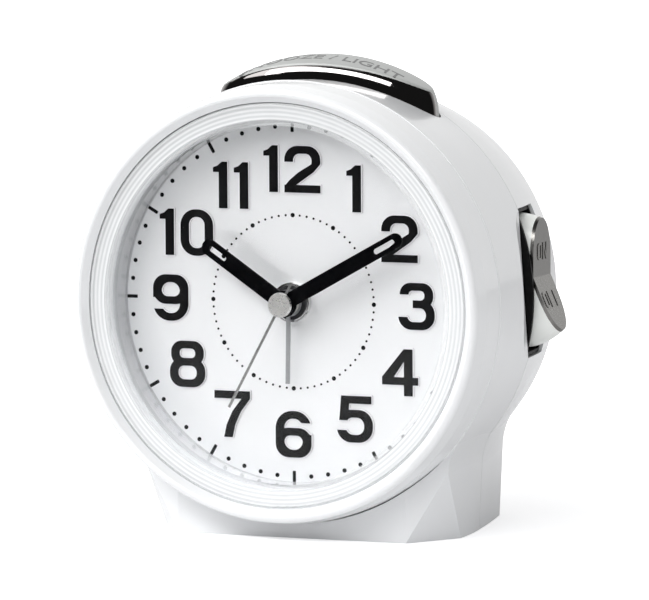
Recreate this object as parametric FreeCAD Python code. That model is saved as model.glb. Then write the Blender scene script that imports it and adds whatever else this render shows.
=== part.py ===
"""Round quartz bedside alarm clock.

Everything is drawn with the dial's centre as origin: X to the clock's left-to-right as one reads the
dial, Y away from the reader, Z up.  save() then lifts each piece so that the base stands on Z = 0.
"""
import math
import os

import FreeCAD
import Part

# placing on the surface that the clock stands on
AXIS_HEIGHT = 55.1
DIAL_SETBACK = -25.0

# round body
BODY_RADIUS_FRONT = 51.5
BODY_SEAM_TAPER = 0.9
BODY_MIDDLE_TAPER = 2.6
BODY_BACK_TAPER = 6.1
SEAM_Y = 25.5
BODY_MIDDLE_Y = 38.0
BODY_DEPTH = 53.7
BACK_EDGE_ROUND = 4.0
WALL = 2.2
SEAM_GAP = 0.16
SEAM_LIP = 1.0
SEAM_LIP_REACH = 3.0
LIP_BOTTOM_Z = -26.0

# base that the round body grows into
BASE_FRONT_Y = -2.6
BASE_SHOULDER_Y = 12.0
BASE_HALF_WIDTH_FRONT = 37.5
BASE_HALF_WIDTH_BACK = 30.9
BASE_TAPER_POWER = 1.4
BASE_STATIONS = 4
FOOT_TRIM = 1.0
BASE_DRAFT = 3.0
BASE_BLEND = 16.0
BASE_BLEND_SINK = 0.15
BASE_CORNER_X = 28.8
BASE_FACET_RUN = 12.9
BASE_FACET_SETBACK = 3.6
BASE_FACET_RISE = 22.3
BASE_CHAMFER_X = 36.9
BASE_CHAMFER_Y = 9.5

# bezel ring, lens and the collar that carries them
BEZEL_FRONT_Y = -12.9
BEZEL_FRONT_STEP = 1.2
BEZEL_SIDE_STEP = 0.3
BEZEL_SHOULDER_Y = -7.5
BEZEL_SHOULDER_ROUND = 8.0
BEZEL_LIP_ROUND = 0.8
BEZEL_NOSE_ROUND = 1.5
BEZEL_LIP_BACK_Y = -9.3
BEZEL_SEAT_GAP = 0.1
BEZEL_FIT = 0.1
LENS_FRONT_Y = -11.3
LENS_THICKNESS = 1.7
LENS_INSET = 4.4
LENS_FLANGE_INSET = 2.6
LENS_FLANGE_THICKNESS = 1.7
LENS_EDGE_ROUND = 0.6
LENS_FIT = 0.2
SKIRT_UPPER_INSET = 4.2
SKIRT_WALL = 1.2
SKIRT_STEP_Y = -6.0
SKIRT_LOWER_INSET = 8.1
COLLAR_INSET = 3.9
COLLAR_WALL = 1.4

# dial and its wall
DIAL_INSET = 7.9
DIAL_THICKNESS = 0.6
DIAL_WALL = 1.8
HUB_HOLE_FIT = 0.1
NUMERAL_INSET = 12.6
NUMERAL_HEIGHT = 10.9
NUMERAL_RIM = 0.28
NUMERAL_RIM_THICKNESS = 0.22
NUMERAL_THICKNESS = 0.2
NUMERAL_GAP = 1.7

# lamp that lights the lens skirt
LAMP_RADIUS = 1.5
LAMP_INSET = 6.9
LAMP_LENGTH = 5.0
LAMP_FLANGE_RADIUS = 1.9
LAMP_FLANGE = 0.8
LAMP_FIT = 0.1
LAMP_WIRE_RADIUS = 0.25
LAMP_WIRE_LENGTH = 4.0
LAMP_WIRE_SPACING = 1.27

# arbor stack at the dial's centre, from the inside out
RUNNING_FIT = 0.06
SECONDS_ARBOR_RADIUS = 0.45
MINUTE_TUBE_RADIUS = 1.4
HOUR_TUBE_RADIUS = 2.05
ALARM_TUBE_RADIUS = 2.7
BUSH_RADIUS = 4.0
BUSH_FRONT_Y = -1.9
NUT_RADIUS = 4.6
NUT_THICKNESS = 1.6
NUT_SLOTS = 6
NUT_SLOT_WIDTH = 0.8

# hands
ALARM_HAND_FRONT_Y = -3.0
ALARM_HAND_THICKNESS = 0.4
ALARM_HAND_LENGTH = 18.9
ALARM_HAND_WIDTH = 1.0
ALARM_HAND_HUB = 3.2
ALARM_HAND_ANGLE = 181.0
HOUR_HAND_FRONT_Y = -5.7
HOUR_HAND_THICKNESS = 0.5
HOUR_HAND_LENGTH = 24.5
HOUR_HAND_WIDTH = 3.8
HOUR_HAND_ANGLE = 304.0
HOUR_SLOT_LENGTH = 5.0
HOUR_HUB_RADIUS = 3.1
MINUTE_HAND_FRONT_Y = -6.9
MINUTE_HAND_THICKNESS = 0.5
MINUTE_HAND_LENGTH = 34.1
MINUTE_HAND_WIDTH = 3.5
MINUTE_HAND_ANGLE = 61.0
MINUTE_SLOT_LENGTH = 5.9
MINUTE_HUB_RADIUS = 2.9
HAND_SLOT_WIDTH = 1.3
HAND_SLOT_INSET = 1.9
SECOND_HAND_FRONT_Y = -7.8
SECOND_HAND_THICKNESS = 0.25
SECOND_HAND_LENGTH = 27.7
SECOND_HAND_TAIL = 6.0
SECOND_HAND_WIDTH = 0.6
SECOND_HAND_ANGLE = 208.4
CAP_RADIUS = 2.9
CAP_THICKNESS = 0.7
CAP_EDGE = 0.25

# movement case
MOVEMENT_HALF = 28.0
MOVEMENT_WALL = 1.5
MOVEMENT_CORNER = 3.0
FRONT_PLATE = 2.0
MIDDLE_PLATE_Y = 10.0
MIDDLE_PLATE = 0.8
MIDDLE_PLATE_FIT = 0.1
BACK_PLATE_Y = 17.0
BACK_PLATE = 1.6
MOVEMENT_SCREW_INSET = 3.6
MOVEMENT_SCREW_RADIUS = 0.9
MOVEMENT_SCREW_HEAD = 1.7
MOVEMENT_SCREW_HEAD_HEIGHT = 1.0
MOVEMENT_SCREW_FIT = 0.02
MOVEMENT_POST_RADIUS = 2.2

# wheels: module, teeth and where each one sits along Y
TOOTH_SHARE = 0.36
TOOTH_ADDENDUM = 0.75
TOOTH_DEDENDUM = 1.15
TOOTH_TIP_SHARE = 0.18
ROTOR_PINION_TEETH = 8
INTERMEDIATE_TEETH = 48
ROTOR_MODULE = 0.3
INTERMEDIATE_PINION_TEETH = 8
SECOND_TEETH = 40
INTERMEDIATE_MODULE = 0.38
SECOND_PINION_TEETH = 8
THIRD_TEETH = 60
THIRD_MODULE = 9.0 * 2 / 68
THIRD_PINION_TEETH = 8
CENTRE_TEETH = 64
CENTRE_MODULE = 0.25
MINUTE_PINION_TEETH = 12
MINUTE_WHEEL_TEETH = 36
MINUTE_MODULE = 0.4
HOUR_PINION_TEETH = 10
HOUR_WHEEL_TEETH = 40
TIME_SET_TEETH = 12
ALARM_SET_TEETH = 16
ALARM_WHEEL_TEETH = 64
ALARM_MODULE = 0.4
INTERMEDIATE_DIRECTION = 215.0
ROTOR_DIRECTION = 245.0
THIRD_DIRECTION = -35.0
ALARM_WHEEL_Y = 5.3
ALARM_WHEEL_THICKNESS = 1.0
HOUR_WHEEL_Y = 7.1
HOUR_WHEEL_THICKNESS = 0.9
MINUTE_WHEEL_Y = 8.6
MINUTE_WHEEL_THICKNESS = 0.9
CENTRE_WHEEL_Y = 11.2
THIRD_WHEEL_Y = 12.85
SECOND_WHEEL_Y = 14.2
INTERMEDIATE_WHEEL_Y = 15.6
TRAIN_WHEEL_THICKNESS = 0.6
PINION_OVERHANG = 0.2
TRAIN_ARBOR_RADIUS = 0.4
TRAIN_PIVOT_REACH = 0.6
FRICTION_SPRING_THICKNESS = 0.2
TUBE_FLANGE_RADIUS = 2.2
TUBE_FLANGE = 0.25
STUD_RADIUS = 0.8
STUD_LENGTH = 3.2
WHEEL_HUB_RADIUS = 1.3

# setting arbors and knobs
SET_ARBOR_X = 15.5
SET_ARBOR_Z = 4.0
SET_ARBOR_RADIUS = 1.25
SET_PIVOT_RADIUS = 0.8
SET_PIVOT_REACH = 1.2
KNOB_RADIUS = 7.0
KNOB_THICKNESS = 4.4
KNOB_GAP = 0.5
KNOB_FLUTES = 24
KNOB_FLUTE_RADIUS = 0.5
KNOB_DISH_RADIUS = 5.2
KNOB_DISH = 0.8
KNOB_GRIP_WIDTH = 1.8
ARBOR_IN_KNOB = 3.4
POCKET_RADIUS = 9.0
POCKET_DEPTH = 5.6
POCKET_WALL = 1.8
ARBOR_HOLE_FIT = 0.3

# stepping motor
ROTOR_RADIUS = 2.6
ROTOR_THICKNESS = 2.1
ROTOR_AIR_GAP = 0.4
STATOR_Y = 10.85
STATOR_THICKNESS = 0.8
STATOR_BAR = 2.4
COIL_Z = -22.0
COIL_HALF_LENGTH = 11.5
COIL_RADIUS = 3.9
BOBBIN_RADIUS = 2.0
BOBBIN_FLANGE = 0.8
BOBBIN_FLANGE_RADIUS = 4.1
BOBBIN_HOLE_FIT = 0.05
STATOR_HALF_LENGTH = 17.0
STATOR_BLOCK_HALF = 5.0

# circuit board
BOARD_HALF_WIDTH = 22.0
BOARD_BOTTOM_Z = 15.2
BOARD_TOP_Z = 26.2
BOARD_THICKNESS = 1.0
BOARD_Y = 10.9
CHIP_RADIUS = 3.4
CHIP_HEIGHT = 1.2
CRYSTAL_RADIUS = 1.05
CRYSTAL_LENGTH = 6.2
CAPACITOR_RADIUS = 1.7
CAPACITOR_LENGTH = 5.0

# snooze and light bar on top
BAR_HALF_LENGTH = 27.9
BAR_HALF_DEPTH = 9.4
BAR_Y = 21.4
BAR_RISE = 5.6
BAR_CROWN_LONG = 53.6
BAR_CROWN_SHORT = 14.5
BAR_WALL = 1.6
BAR_SKIRT_DROP = 2.3
BAR_EDGE_ROUND = 0.7
BAR_TRAVEL = 1.5
BAR_FIT = 0.4
WELL_WALL = 1.4
WELL_DEPTH = 5.3
BAR_POST_X = 15.0
BAR_POST_Y = 19.0
BAR_POST_RADIUS = 2.0
BAR_POST_FIT = 0.12
BAR_POST_END_DROP = 12.5
BAR_PAD_RADIUS = 3.8
BAR_PAD_BOTTOM_DROP = 10.8
BAR_PAD_TOP_DROP = 6.7
BAR_SHOULDER_RADIUS = 3.5
BAR_SHOULDER_DROP = 1.0
CLIP_RADIUS = 3.6
CLIP_THICKNESS = 0.9
CLIP_GAP = 0.05
SPRING_RADIUS = 3.2
SPRING_WALL = 0.6
SPRING_END_GAP = 0.02
PLUNGER_RADIUS = 1.8
PLUNGER_END_DROP = 6.6
SWITCH_HALF = 3.0
SWITCH_HEIGHT = 3.4
SWITCH_BUTTON_RADIUS = 1.6
SWITCH_BUTTON_HEIGHT = 0.6
SWITCH_BUTTON_GAP = 0.1
SWITCH_BOARD_HALF = 5.0
SWITCH_BOARD_THICKNESS = 1.0
SWITCH_RIB = 1.2
SWITCH_FIT = 0.1

# alarm rocker on the right-hand side
ROCKER_PIVOT_INSET = 8.0
ROCKER_PIVOT_Z = 3.4
ROCKER_FRONT_Y = 27.0
ROCKER_WIDTH = 11.4
ROCKER_HEEL = 6.0
ROCKER_FACET = 13.6
ROCKER_TILT = 11.8
ROCKER_TIP_RUN = 7.8
ROCKER_WALL = 1.1
ROCKER_PLATE = 0.8
ROCKER_EAR_START = 4.0
ROCKER_EAR_DEPTH = 2.8
ROCKER_HUB_RADIUS = 2.5
ROCKER_HUB_WIDTH = 6.0
ROCKER_PIN_RADIUS = 1.0
ROCKER_PIN_FIT = 0.06
ROCKER_SWEEP_GAP = 0.45
ROCKER_SIDE_GAP = 0.3
HOUSING_WALL = 1.0
HOUSING_DEPTH = 7.0
HOUSING_SINK = 0.8
HOUSING_FIT = 0.1
SCOOP_DEPTH = 3.0
SCOOP_REACH = 9.0
SCOOP_RADIUS = 16.0
LETTER_HEIGHT = 4.0
LETTER_WIDTH = 2.6
LETTER_STROKE = 0.55
LETTER_RELIEF = 0.15
LETTER_PITCH = 3.4
LETTER_CENTRE = 5.8
CONTACT_THICKNESS = 0.3
CONTACT_WIDTH = 4.0
CONTACT_LENGTH = 16.0
CONTACT_CLEARANCE = 0.4

# sounder behind the back wall
SOUNDER_Z = 24.0
SOUNDER_RADIUS = 13.0
SOUNDER_RIM = 1.6
SOUNDER_RIM_THICKNESS = 1.9
SOUNDER_DEPTH = 5.0
SOUNDER_NECK_RADIUS = 6.5
SOUNDER_SHEET = 0.6
MAGNET_THICKNESS = 3.0
CONE_RADIUS = 10.2
CONE_NECK_RADIUS = 4.0
CONE_SHEET = 0.35
SOUNDER_WALL = 1.4
SOUNDER_FIT = 0.15
GRILLE_HOLE_RADIUS = 1.0
GRILLE_PITCH = 4.0
GRILLE_RINGS = 2

# battery, its tray and door
BATTERY_RADIUS = 7.2
BATTERY_BODY = 49.2
BATTERY_NUB = 1.0
BATTERY_NUB_RADIUS = 2.7
BATTERY_Z = -17.0
TRAY_WALL = 1.4
TRAY_FIT = 0.4
CONTACT_PLATE = 0.5
CONTACT_PLATE_HALF = 5.0
BATTERY_SPRING_LENGTH = 3.4
BATTERY_SPRING_RADIUS = 3.6
DOOR_THICKNESS = 1.6
DOOR_FIT = 0.35
DOOR_LEDGE = 1.6
DOOR_PIN_RADIUS = 0.8
DOOR_PIN_REACH = 1.2
DOOR_PIN_FIT = 0.1
DOOR_RIBS = 5
DOOR_RIB_HEIGHT = 0.4
DOOR_RIB_WIDTH = 0.8
DOOR_RIB_PITCH = 2.0
DOOR_RIB_LENGTH = 14.0
DOOR_NOTCH_RADIUS = 5.0

# case screws
SCREW_HIGH_X = 22.0
SCREW_HIGH_Z = 33.0
SCREW_LOW_X = 33.5
SCREW_LOW_Z = -19.0
SCREW_RADIUS = 1.3
SCREW_LENGTH = 12.0
SCREW_HEAD_RADIUS = 2.3
SCREW_HEAD_HEIGHT = 1.8
SCREW_SEAT = 2.4
SCREW_FIT = 0.03
BOSS_RADIUS = 3.4
BOSS_WALL = 0.8
SCREW_CROSS_WIDTH = 0.6
SCREW_CROSS_DEPTH = 0.9
SCREW_CROSS_SHARE = 0.65

# outlines of the digits, drawn 2 x TALL high before they are scaled
TALL = 5.45
WIDE = 4.5
UPPER_WIDE = 4.15
STEM = 2.15
THIN = 1.8
BOWL_ROUND = 0.92
ONE_RIGHT = 1.8
ONE_PEAK_X = 0.4
ONE_NICK_X = -0.7
ONE_NICK_Z = 4.5
FLAG_LOW = 3.0
FLAG_HIGH = 4.1
TWO_BOWL_LOW = -1.6
TWO_CUT_HIGH = 1.7
TWO_CUT_LOW = 1.3
TWO_HEEL_Z = -4.0
TWO_BEND_X = -3.3
TWO_BEND_Z = -2.6
TWO_WAIST_X = -1.0
TWO_WAIST_Z = -0.7
TWO_HIP_X = 2.8
TWO_HIP_Z = -0.6
TWO_CROTCH_X = -1.6
THREE_WAIST = 0.5
THREE_OPEN_LOW = -2.5
THREE_OPEN_HIGH = 2.7
THREE_TONGUE_X = -0.9
FOUR_STEM_LEFT = 0.9
FOUR_STEM_RIGHT = 3.1
FOUR_BAR_LOW = -2.9
FOUR_COUNTER_TOP = 2.6
FOUR_COUNTER_LEFT = -1.6
FIVE_BOWL_TOP = 2.2
FIVE_CUT_X = -0.6
FIVE_CUT_LOW = -2.6
FIVE_STEM_LOW = -0.3
FIVE_STEM_X = -3.4
FIVE_SLANT = 0.5
SIX_TERMINAL_Z = 2.7
SIX_BOWL_TOP = 1.5
SEVEN_BEND_X = 2.2
SEVEN_BEND_Z = 0.7
SEVEN_KNEE_X = 0.7
SEVEN_KNEE_Z = -2.5
SEVEN_FOOT_X = -2.1
EIGHT_WAIST = 0.5

# sizes worked out from the ones above
BODY_RADIUS_SEAM = BODY_RADIUS_FRONT - BODY_SEAM_TAPER
BODY_RADIUS_MIDDLE = BODY_RADIUS_FRONT - BODY_MIDDLE_TAPER
BODY_RADIUS_BACK = BODY_RADIUS_FRONT - BODY_BACK_TAPER
BEZEL_FRONT_RADIUS = BODY_RADIUS_FRONT - BEZEL_FRONT_STEP
BEZEL_SIDE_RADIUS = BODY_RADIUS_FRONT - BEZEL_SIDE_STEP
LENS_RADIUS = BODY_RADIUS_FRONT - LENS_INSET
LENS_FLANGE_RADIUS = BODY_RADIUS_FRONT - LENS_FLANGE_INSET
SKIRT_UPPER_RADIUS = BODY_RADIUS_FRONT - SKIRT_UPPER_INSET
SKIRT_LOWER_RADIUS = BODY_RADIUS_FRONT - SKIRT_LOWER_INSET
COLLAR_INNER_RADIUS = BODY_RADIUS_FRONT - COLLAR_INSET
DIAL_RADIUS = BODY_RADIUS_FRONT - DIAL_INSET
BAR_SKIRT_RADIUS = BODY_RADIUS_FRONT - BAR_SKIRT_DROP
WELL_FLOOR_RADIUS = BODY_RADIUS_FRONT - WELL_DEPTH
BAR_POST_END_Z = BODY_RADIUS_FRONT - BAR_POST_END_DROP
BAR_PAD_BOTTOM_Z = BODY_RADIUS_FRONT - BAR_PAD_BOTTOM_DROP
BAR_PAD_TOP_Z = BODY_RADIUS_FRONT - BAR_PAD_TOP_DROP
BAR_SHOULDER_Z = BODY_RADIUS_FRONT - BAR_SHOULDER_DROP
PLUNGER_END_Z = BODY_RADIUS_FRONT - PLUNGER_END_DROP
ROCKER_PIVOT_X = BODY_RADIUS_FRONT - ROCKER_PIVOT_INSET
BAR_TOP_Z = BODY_RADIUS_FRONT + BAR_RISE
NUMERAL_CIRCLE = DIAL_RADIUS - NUMERAL_INSET
LAMP_Z = BODY_RADIUS_FRONT - LAMP_INSET
DIAL_WALL_BACK = DIAL_THICKNESS + DIAL_WALL
COLLAR_OUTER_RADIUS = COLLAR_INNER_RADIUS + COLLAR_WALL
MOVEMENT_FRONT = DIAL_WALL_BACK
FRONT_PLATE_BACK = MOVEMENT_FRONT + FRONT_PLATE
ROTOR_DISTANCE = (ROTOR_PINION_TEETH + INTERMEDIATE_TEETH) * ROTOR_MODULE / 2
INTERMEDIATE_DISTANCE = (INTERMEDIATE_PINION_TEETH + SECOND_TEETH) * INTERMEDIATE_MODULE / 2
THIRD_DISTANCE = (SECOND_PINION_TEETH + THIRD_TEETH) * THIRD_MODULE / 2
MINUTE_DISTANCE = (MINUTE_PINION_TEETH + MINUTE_WHEEL_TEETH) * MINUTE_MODULE / 2
HOUR_MODULE = 2 * MINUTE_DISTANCE / (HOUR_PINION_TEETH + HOUR_WHEEL_TEETH)
FAR = 200.0
FULL_TURN = 360.0
TOUCH = 1e-6
NEAR = 1e-3
NEARLY = 0.999
SECOND_HUB_SHARE = 0.7


def vec(x, y, z):
    return FreeCAD.Vector(x, y, z)


ALONG_Y = vec(0, 1, 0)
ALONG_X = vec(1, 0, 0)
ALONG_Z = vec(0, 0, 1)


def polar(distance, degrees):
    """X and Z of a point at a distance and a direction from the dial's centre."""
    angle = math.radians(degrees)
    return distance * math.cos(angle), distance * math.sin(angle)


def disc(radius, front, back, x=0.0, z=0.0):
    return Part.makeCylinder(radius, back - front, vec(x, front, z), ALONG_Y)


def ring(outer, inner, front, back, x=0.0, z=0.0):
    return disc(outer, front, back, x, z).cut(disc(inner, front - 1, back + 1, x, z))


def box(x0, x1, y0, y1, z0, z1):
    return Part.makeBox(x1 - x0, y1 - y0, z1 - z0, vec(x0, y0, z0))


def rounded_wire(corners, place):
    """Closed outline through (u, v, radius) corners; place() turns u and v into a point."""
    bends = []
    for index, (u, v, radius) in enumerate(corners):
        here = place(u, v)
        if radius == 0:
            bends.append((here, None, here))
            continue
        before = place(*corners[index - 1][:2])
        after = place(*corners[(index + 1) % len(corners)][:2])
        back = (before - here).normalize()
        ahead = (after - here).normalize()
        half = back.getAngle(ahead) / 2
        inward = (back + ahead).normalize()
        start = here + back * (radius / math.tan(half))
        end = here + ahead * (radius / math.tan(half))
        middle = here + inward * (radius / math.sin(half) - radius)
        bends.append((start, middle, end))
    edges = []
    for index, (start, middle, end) in enumerate(bends):
        if middle is not None:
            edges.append(Part.Arc(start, middle, end).toShape())
        following = bends[(index + 1) % len(bends)][0]
        if end.distanceToPoint(following) > TOUCH:
            edges.append(Part.makeLine(end, following))
    return Part.Wire(edges)


def turned(corners):
    """Solid of revolution about the dial's axis from (radius, y, rounding) corners."""
    outline = rounded_wire(corners, lambda radius, y: vec(radius, y, 0))
    return Part.Face(outline).revolve(vec(0, 0, 0), ALONG_Y, FULL_TURN)


def face_xz(corners):
    return Part.Face(rounded_wire(corners, lambda x, z: vec(x, 0, z)))


def prism(corners, front, back):
    """Outline of (x, z, rounding) corners, from front to back along Y."""
    shape = face_xz(corners).extrude(vec(0, back - front, 0))
    return shape.translated(vec(0, front, 0))


def save(name, shape):
    """Write one piece, standing on the surface below the clock."""
    placed = shape.translated(vec(0, DIAL_SETBACK, AXIS_HEIGHT))
    placed.exportStep("parts/" + name + ".step")


def fused(first, *others):
    return first.fuse(list(others)).removeSplitter()


# round body and base

def body_curve(inset):
    """Arc of the body's side behind the seam, seen in a plane through the axis."""
    seam = vec(BODY_RADIUS_SEAM - inset, SEAM_Y, 0)
    middle = vec(BODY_RADIUS_MIDDLE - inset, BODY_MIDDLE_Y, 0)
    end = vec(BODY_RADIUS_BACK - inset, BODY_DEPTH - inset, 0)
    return Part.Arc(seam, middle, end)


def body_radius(y):
    """Outer radius of the round body at a depth y."""
    if y <= SEAM_Y:
        share = max(y, 0.0) / SEAM_Y
        return BODY_RADIUS_FRONT + (BODY_RADIUS_SEAM - BODY_RADIUS_FRONT) * share
    curve = body_curve(0.0).toShape().Curve
    return curve.Center.x + math.sqrt(curve.Radius ** 2 - (y - curve.Center.y) ** 2)


def front_round(inset, front, back):
    """Front part of the round body, drawn in by inset: a slight cone."""
    return turned([(0, front, 0), (BODY_RADIUS_FRONT - inset, front, 0),
                   (BODY_RADIUS_SEAM - inset, back, 0), (0, back, 0)])


def rear_round(inset, front):
    """Rear part of the round body from a depth front to its back, drawn in by inset."""
    back = BODY_DEPTH - inset
    rim = BODY_RADIUS_SEAM - inset
    edges = [Part.makeLine(vec(0, back, 0), vec(0, front, 0)),
             Part.makeLine(vec(0, front, 0), vec(rim, front, 0))]
    if front < SEAM_Y:
        edges.append(Part.makeLine(vec(rim, front, 0), vec(rim, SEAM_Y, 0)))
    edges.append(body_curve(inset).toShape())
    edges.append(Part.makeLine(vec(BODY_RADIUS_BACK - inset, back, 0), vec(0, back, 0)))
    return Part.Face(Part.Wire(edges)).revolve(vec(0, 0, 0), ALONG_Y, FULL_TURN)


def base_half_width(y):
    """Half-width of the foot at a depth y: even at the front, drawing in towards the back."""
    share = max(y - BASE_SHOULDER_Y, 0.0) / (BODY_DEPTH - BASE_SHOULDER_Y)
    return BASE_HALF_WIDTH_FRONT - (BASE_HALF_WIDTH_FRONT - BASE_HALF_WIDTH_BACK) * share ** BASE_TAPER_POWER


def base_section(y, half_width, body_radius, inset):
    """Cross-section of the base: flat foot, drafted sides, hollow curve up to the round body."""
    draft = math.radians(BASE_DRAFT)
    foot = inset - AXIS_HEIGHT - FOOT_TRIM
    width = half_width - inset - FOOT_TRIM * math.tan(draft)
    blend = BASE_BLEND + inset
    reach = body_radius - BASE_BLEND_SINK - inset + blend
    # the curve's centre lies blend outside the side's line and reach away from the axis
    side = vec(math.sin(draft), 0, math.cos(draft))
    normal = vec(math.cos(draft), 0, -math.sin(draft))
    start = vec(width, 0, foot)
    offset = start.dot(normal) + blend
    height = -math.sqrt(reach ** 2 - offset ** 2)
    centre = normal * offset + side * height
    touch_side = centre - normal * blend
    touch_body = centre * ((reach - blend) / reach)
    outward = (touch_side - centre).normalize() + (touch_body - centre).normalize()
    middle = centre + outward.normalize() * blend
    right = [start, touch_side, middle, touch_body]
    left = [vec(-point.x, 0, point.z) for point in right]
    edges = [Part.makeLine(left[0], right[0]),
             Part.makeLine(right[0], right[1]),
             Part.Arc(right[1], right[2], right[3]).toShape(),
             Part.makeLine(right[3], left[3]),
             Part.Arc(left[3], left[2], left[1]).toShape(),
             Part.makeLine(left[1], left[0])]
    return Part.Wire(edges).translated(vec(0, y, 0))


def beyond(point, normal):
    """Large block on the outer side of a plane through point."""
    block = Part.makeBox(2 * FAR, 2 * FAR, FAR, vec(-FAR, -FAR, 0))
    block.Placement = FreeCAD.Placement(point, FreeCAD.Rotation(ALONG_Z, normal))
    return block


def mirrored(shape):
    return shape.mirror(vec(0, 0, 0), ALONG_X)


def base_block(inset, front, back):
    """Base from front to back as one block."""
    step = (back - front) / (BASE_STATIONS - 1)
    depths = [front + step * index for index in range(BASE_STATIONS)]
    wires = [base_section(y, base_half_width(y), body_radius(y), inset) for y in depths]
    return footed(Part.makeLoft(wires, True, False), inset)


def footed(block, inset):
    """Base block cut off flat where it stands."""
    return block.cut(box(-FAR, FAR, -FAR, FAR, -FAR, inset - AXIS_HEIGHT))


def faceted(block, inset):
    """Base with its two turned front facets and the chamfers beside them."""
    corner = vec(BASE_CORNER_X, BASE_FRONT_Y, -AXIS_HEIGHT)
    crest = vec(BASE_FACET_RUN, BASE_FACET_SETBACK, BASE_FACET_RISE)
    foot = vec(BASE_CHAMFER_X - BASE_CORNER_X, BASE_CHAMFER_Y - BASE_FRONT_Y, 0)
    chamfer = foot.cross(crest).normalize()
    facet = vec(BASE_FACET_SETBACK, -BASE_FACET_RUN, 0).normalize()
    for normal in (chamfer, facet):
        cutter = beyond(corner - normal * inset, normal)
        block = block.cut(cutter).cut(mirrored(cutter))
    return block


def back_rounded(shape):
    """Round the edge of the back, all but the foot and the closed-in top of the base."""
    rim = []
    for edge in shape.Edges:
        bounds = edge.BoundBox
        at_back = bounds.YMin > BODY_DEPTH - NEAR
        if at_back and (bounds.ZLength > NEAR or bounds.XLength < NEAR):
            rim.append(edge)
    return shape.makeFillet(BACK_EDGE_ROUND, rim)


def front_shell():
    """Hollow front half with its closed dial wall."""
    end = SEAM_Y - SEAM_GAP
    base = faceted(base_block(0.0, BASE_FRONT_Y, end), 0.0)
    base = base.cut(disc(BODY_RADIUS_FRONT + BEZEL_FIT, -FAR, 0))
    outside = fused(front_round(0.0, 0.0, end), base)
    hollow = faceted(base_block(WALL, BASE_FRONT_Y + WALL, SEAM_Y + 1), WALL)
    hollow = hollow.cut(disc(BODY_RADIUS_FRONT, -FAR, DIAL_WALL_BACK))
    return outside.cut(front_round(WALL, DIAL_WALL_BACK, SEAM_Y + 1)).cut(hollow)


def rear_shell():
    """Hollow rear half with its closed back wall and rounded back edge."""
    base = back_rounded(base_block(0.0, SEAM_Y, BODY_DEPTH))
    outside = fused(back_rounded(rear_round(0.0, SEAM_Y)), base)
    hollow = base_block(WALL, SEAM_Y - 1, BODY_DEPTH - WALL)
    return outside.cut(rear_round(WALL, SEAM_Y - 1)).cut(hollow)


# snooze bar and the well that it sits in

def oval_prism(grow, low, high):
    """Upright oval column with the bar's outline, larger by grow."""
    outline = Part.Ellipse(vec(0, BAR_Y, low), BAR_HALF_LENGTH + grow, BAR_HALF_DEPTH + grow)
    return Part.Face(Part.Wire(outline.toShape())).extrude(vec(0, 0, high - low))


def crowned_block(drop):
    """Space below the bar's crowned top: a thick hoop about the dial's direction, with its bore filled."""
    hoop = BAR_CROWN_LONG - BAR_CROWN_SHORT
    centre = vec(0, BAR_Y, BAR_TOP_Z - BAR_CROWN_LONG)
    torus = Part.makeTorus(hoop, BAR_CROWN_SHORT - drop, centre, ALONG_Y)
    depth = BAR_CROWN_SHORT - drop
    core = Part.makeCylinder(hoop, 2 * depth, centre - ALONG_Y * depth, ALONG_Y)
    return torus.fuse(core)


def well_cup(half):
    """Part of the sunk tray under the bar that belongs to one half of the case."""
    outside = oval_prism(BAR_FIT + WELL_WALL, 0, FAR).common(half)
    return outside.cut(disc(WELL_FLOOR_RADIUS - WELL_WALL, -FAR, FAR)).cut(well_hollow(BAR_FIT))


def well_hollow(grow):
    return oval_prism(grow, 0, FAR).cut(disc(WELL_FLOOR_RADIUS, -FAR, FAR))


def upright(radius, low, high, x, y):
    return Part.makeCylinder(radius, high - low, vec(x, y, low), ALONG_Z)


def well_pads():
    """Two pads that guide the bar's posts and seat its springs."""
    left, right = [upright(BAR_PAD_RADIUS, BAR_PAD_BOTTOM_Z, BAR_PAD_TOP_Z, x, BAR_POST_Y)
                   for x in (-BAR_POST_X, BAR_POST_X)]
    return left.fuse(right)


def well_holes():
    """Holes for the two posts and the plunger."""
    radius = BAR_POST_RADIUS + BAR_POST_FIT
    holes = upright(PLUNGER_RADIUS + BAR_POST_FIT, 0, BODY_RADIUS_FRONT, 0, BAR_POST_Y)
    for x in (-BAR_POST_X, BAR_POST_X):
        holes = holes.fuse(upright(radius, BAR_POST_END_Z - BAR_TRAVEL, BODY_RADIUS_FRONT, x, BAR_POST_Y))
    return holes


SWITCH_TOP_Z = PLUNGER_END_Z - BAR_TRAVEL - SWITCH_BUTTON_GAP
SWITCH_BOARD_Z = SWITCH_TOP_Z - SWITCH_BUTTON_HEIGHT - SWITCH_HEIGHT - SWITCH_BOARD_THICKNESS


def switch_ribs():
    """Two ribs below the well with a ledge each, which hold the snooze switch's board."""
    inner = SWITCH_BOARD_HALF + SWITCH_FIT
    top = WELL_FLOOR_RADIUS - WELL_WALL / 2
    front = BAR_POST_Y - SWITCH_BOARD_HALF
    back = BAR_POST_Y + SWITCH_BOARD_HALF
    rib = box(inner, inner + SWITCH_RIB, front, back, SWITCH_BOARD_Z - SWITCH_RIB, top)
    ledge = box(inner - SWITCH_RIB, inner, front, back, SWITCH_BOARD_Z - SWITCH_RIB, SWITCH_BOARD_Z)
    right = fused(rib, ledge)
    return right.fuse(mirrored(right))


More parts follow.
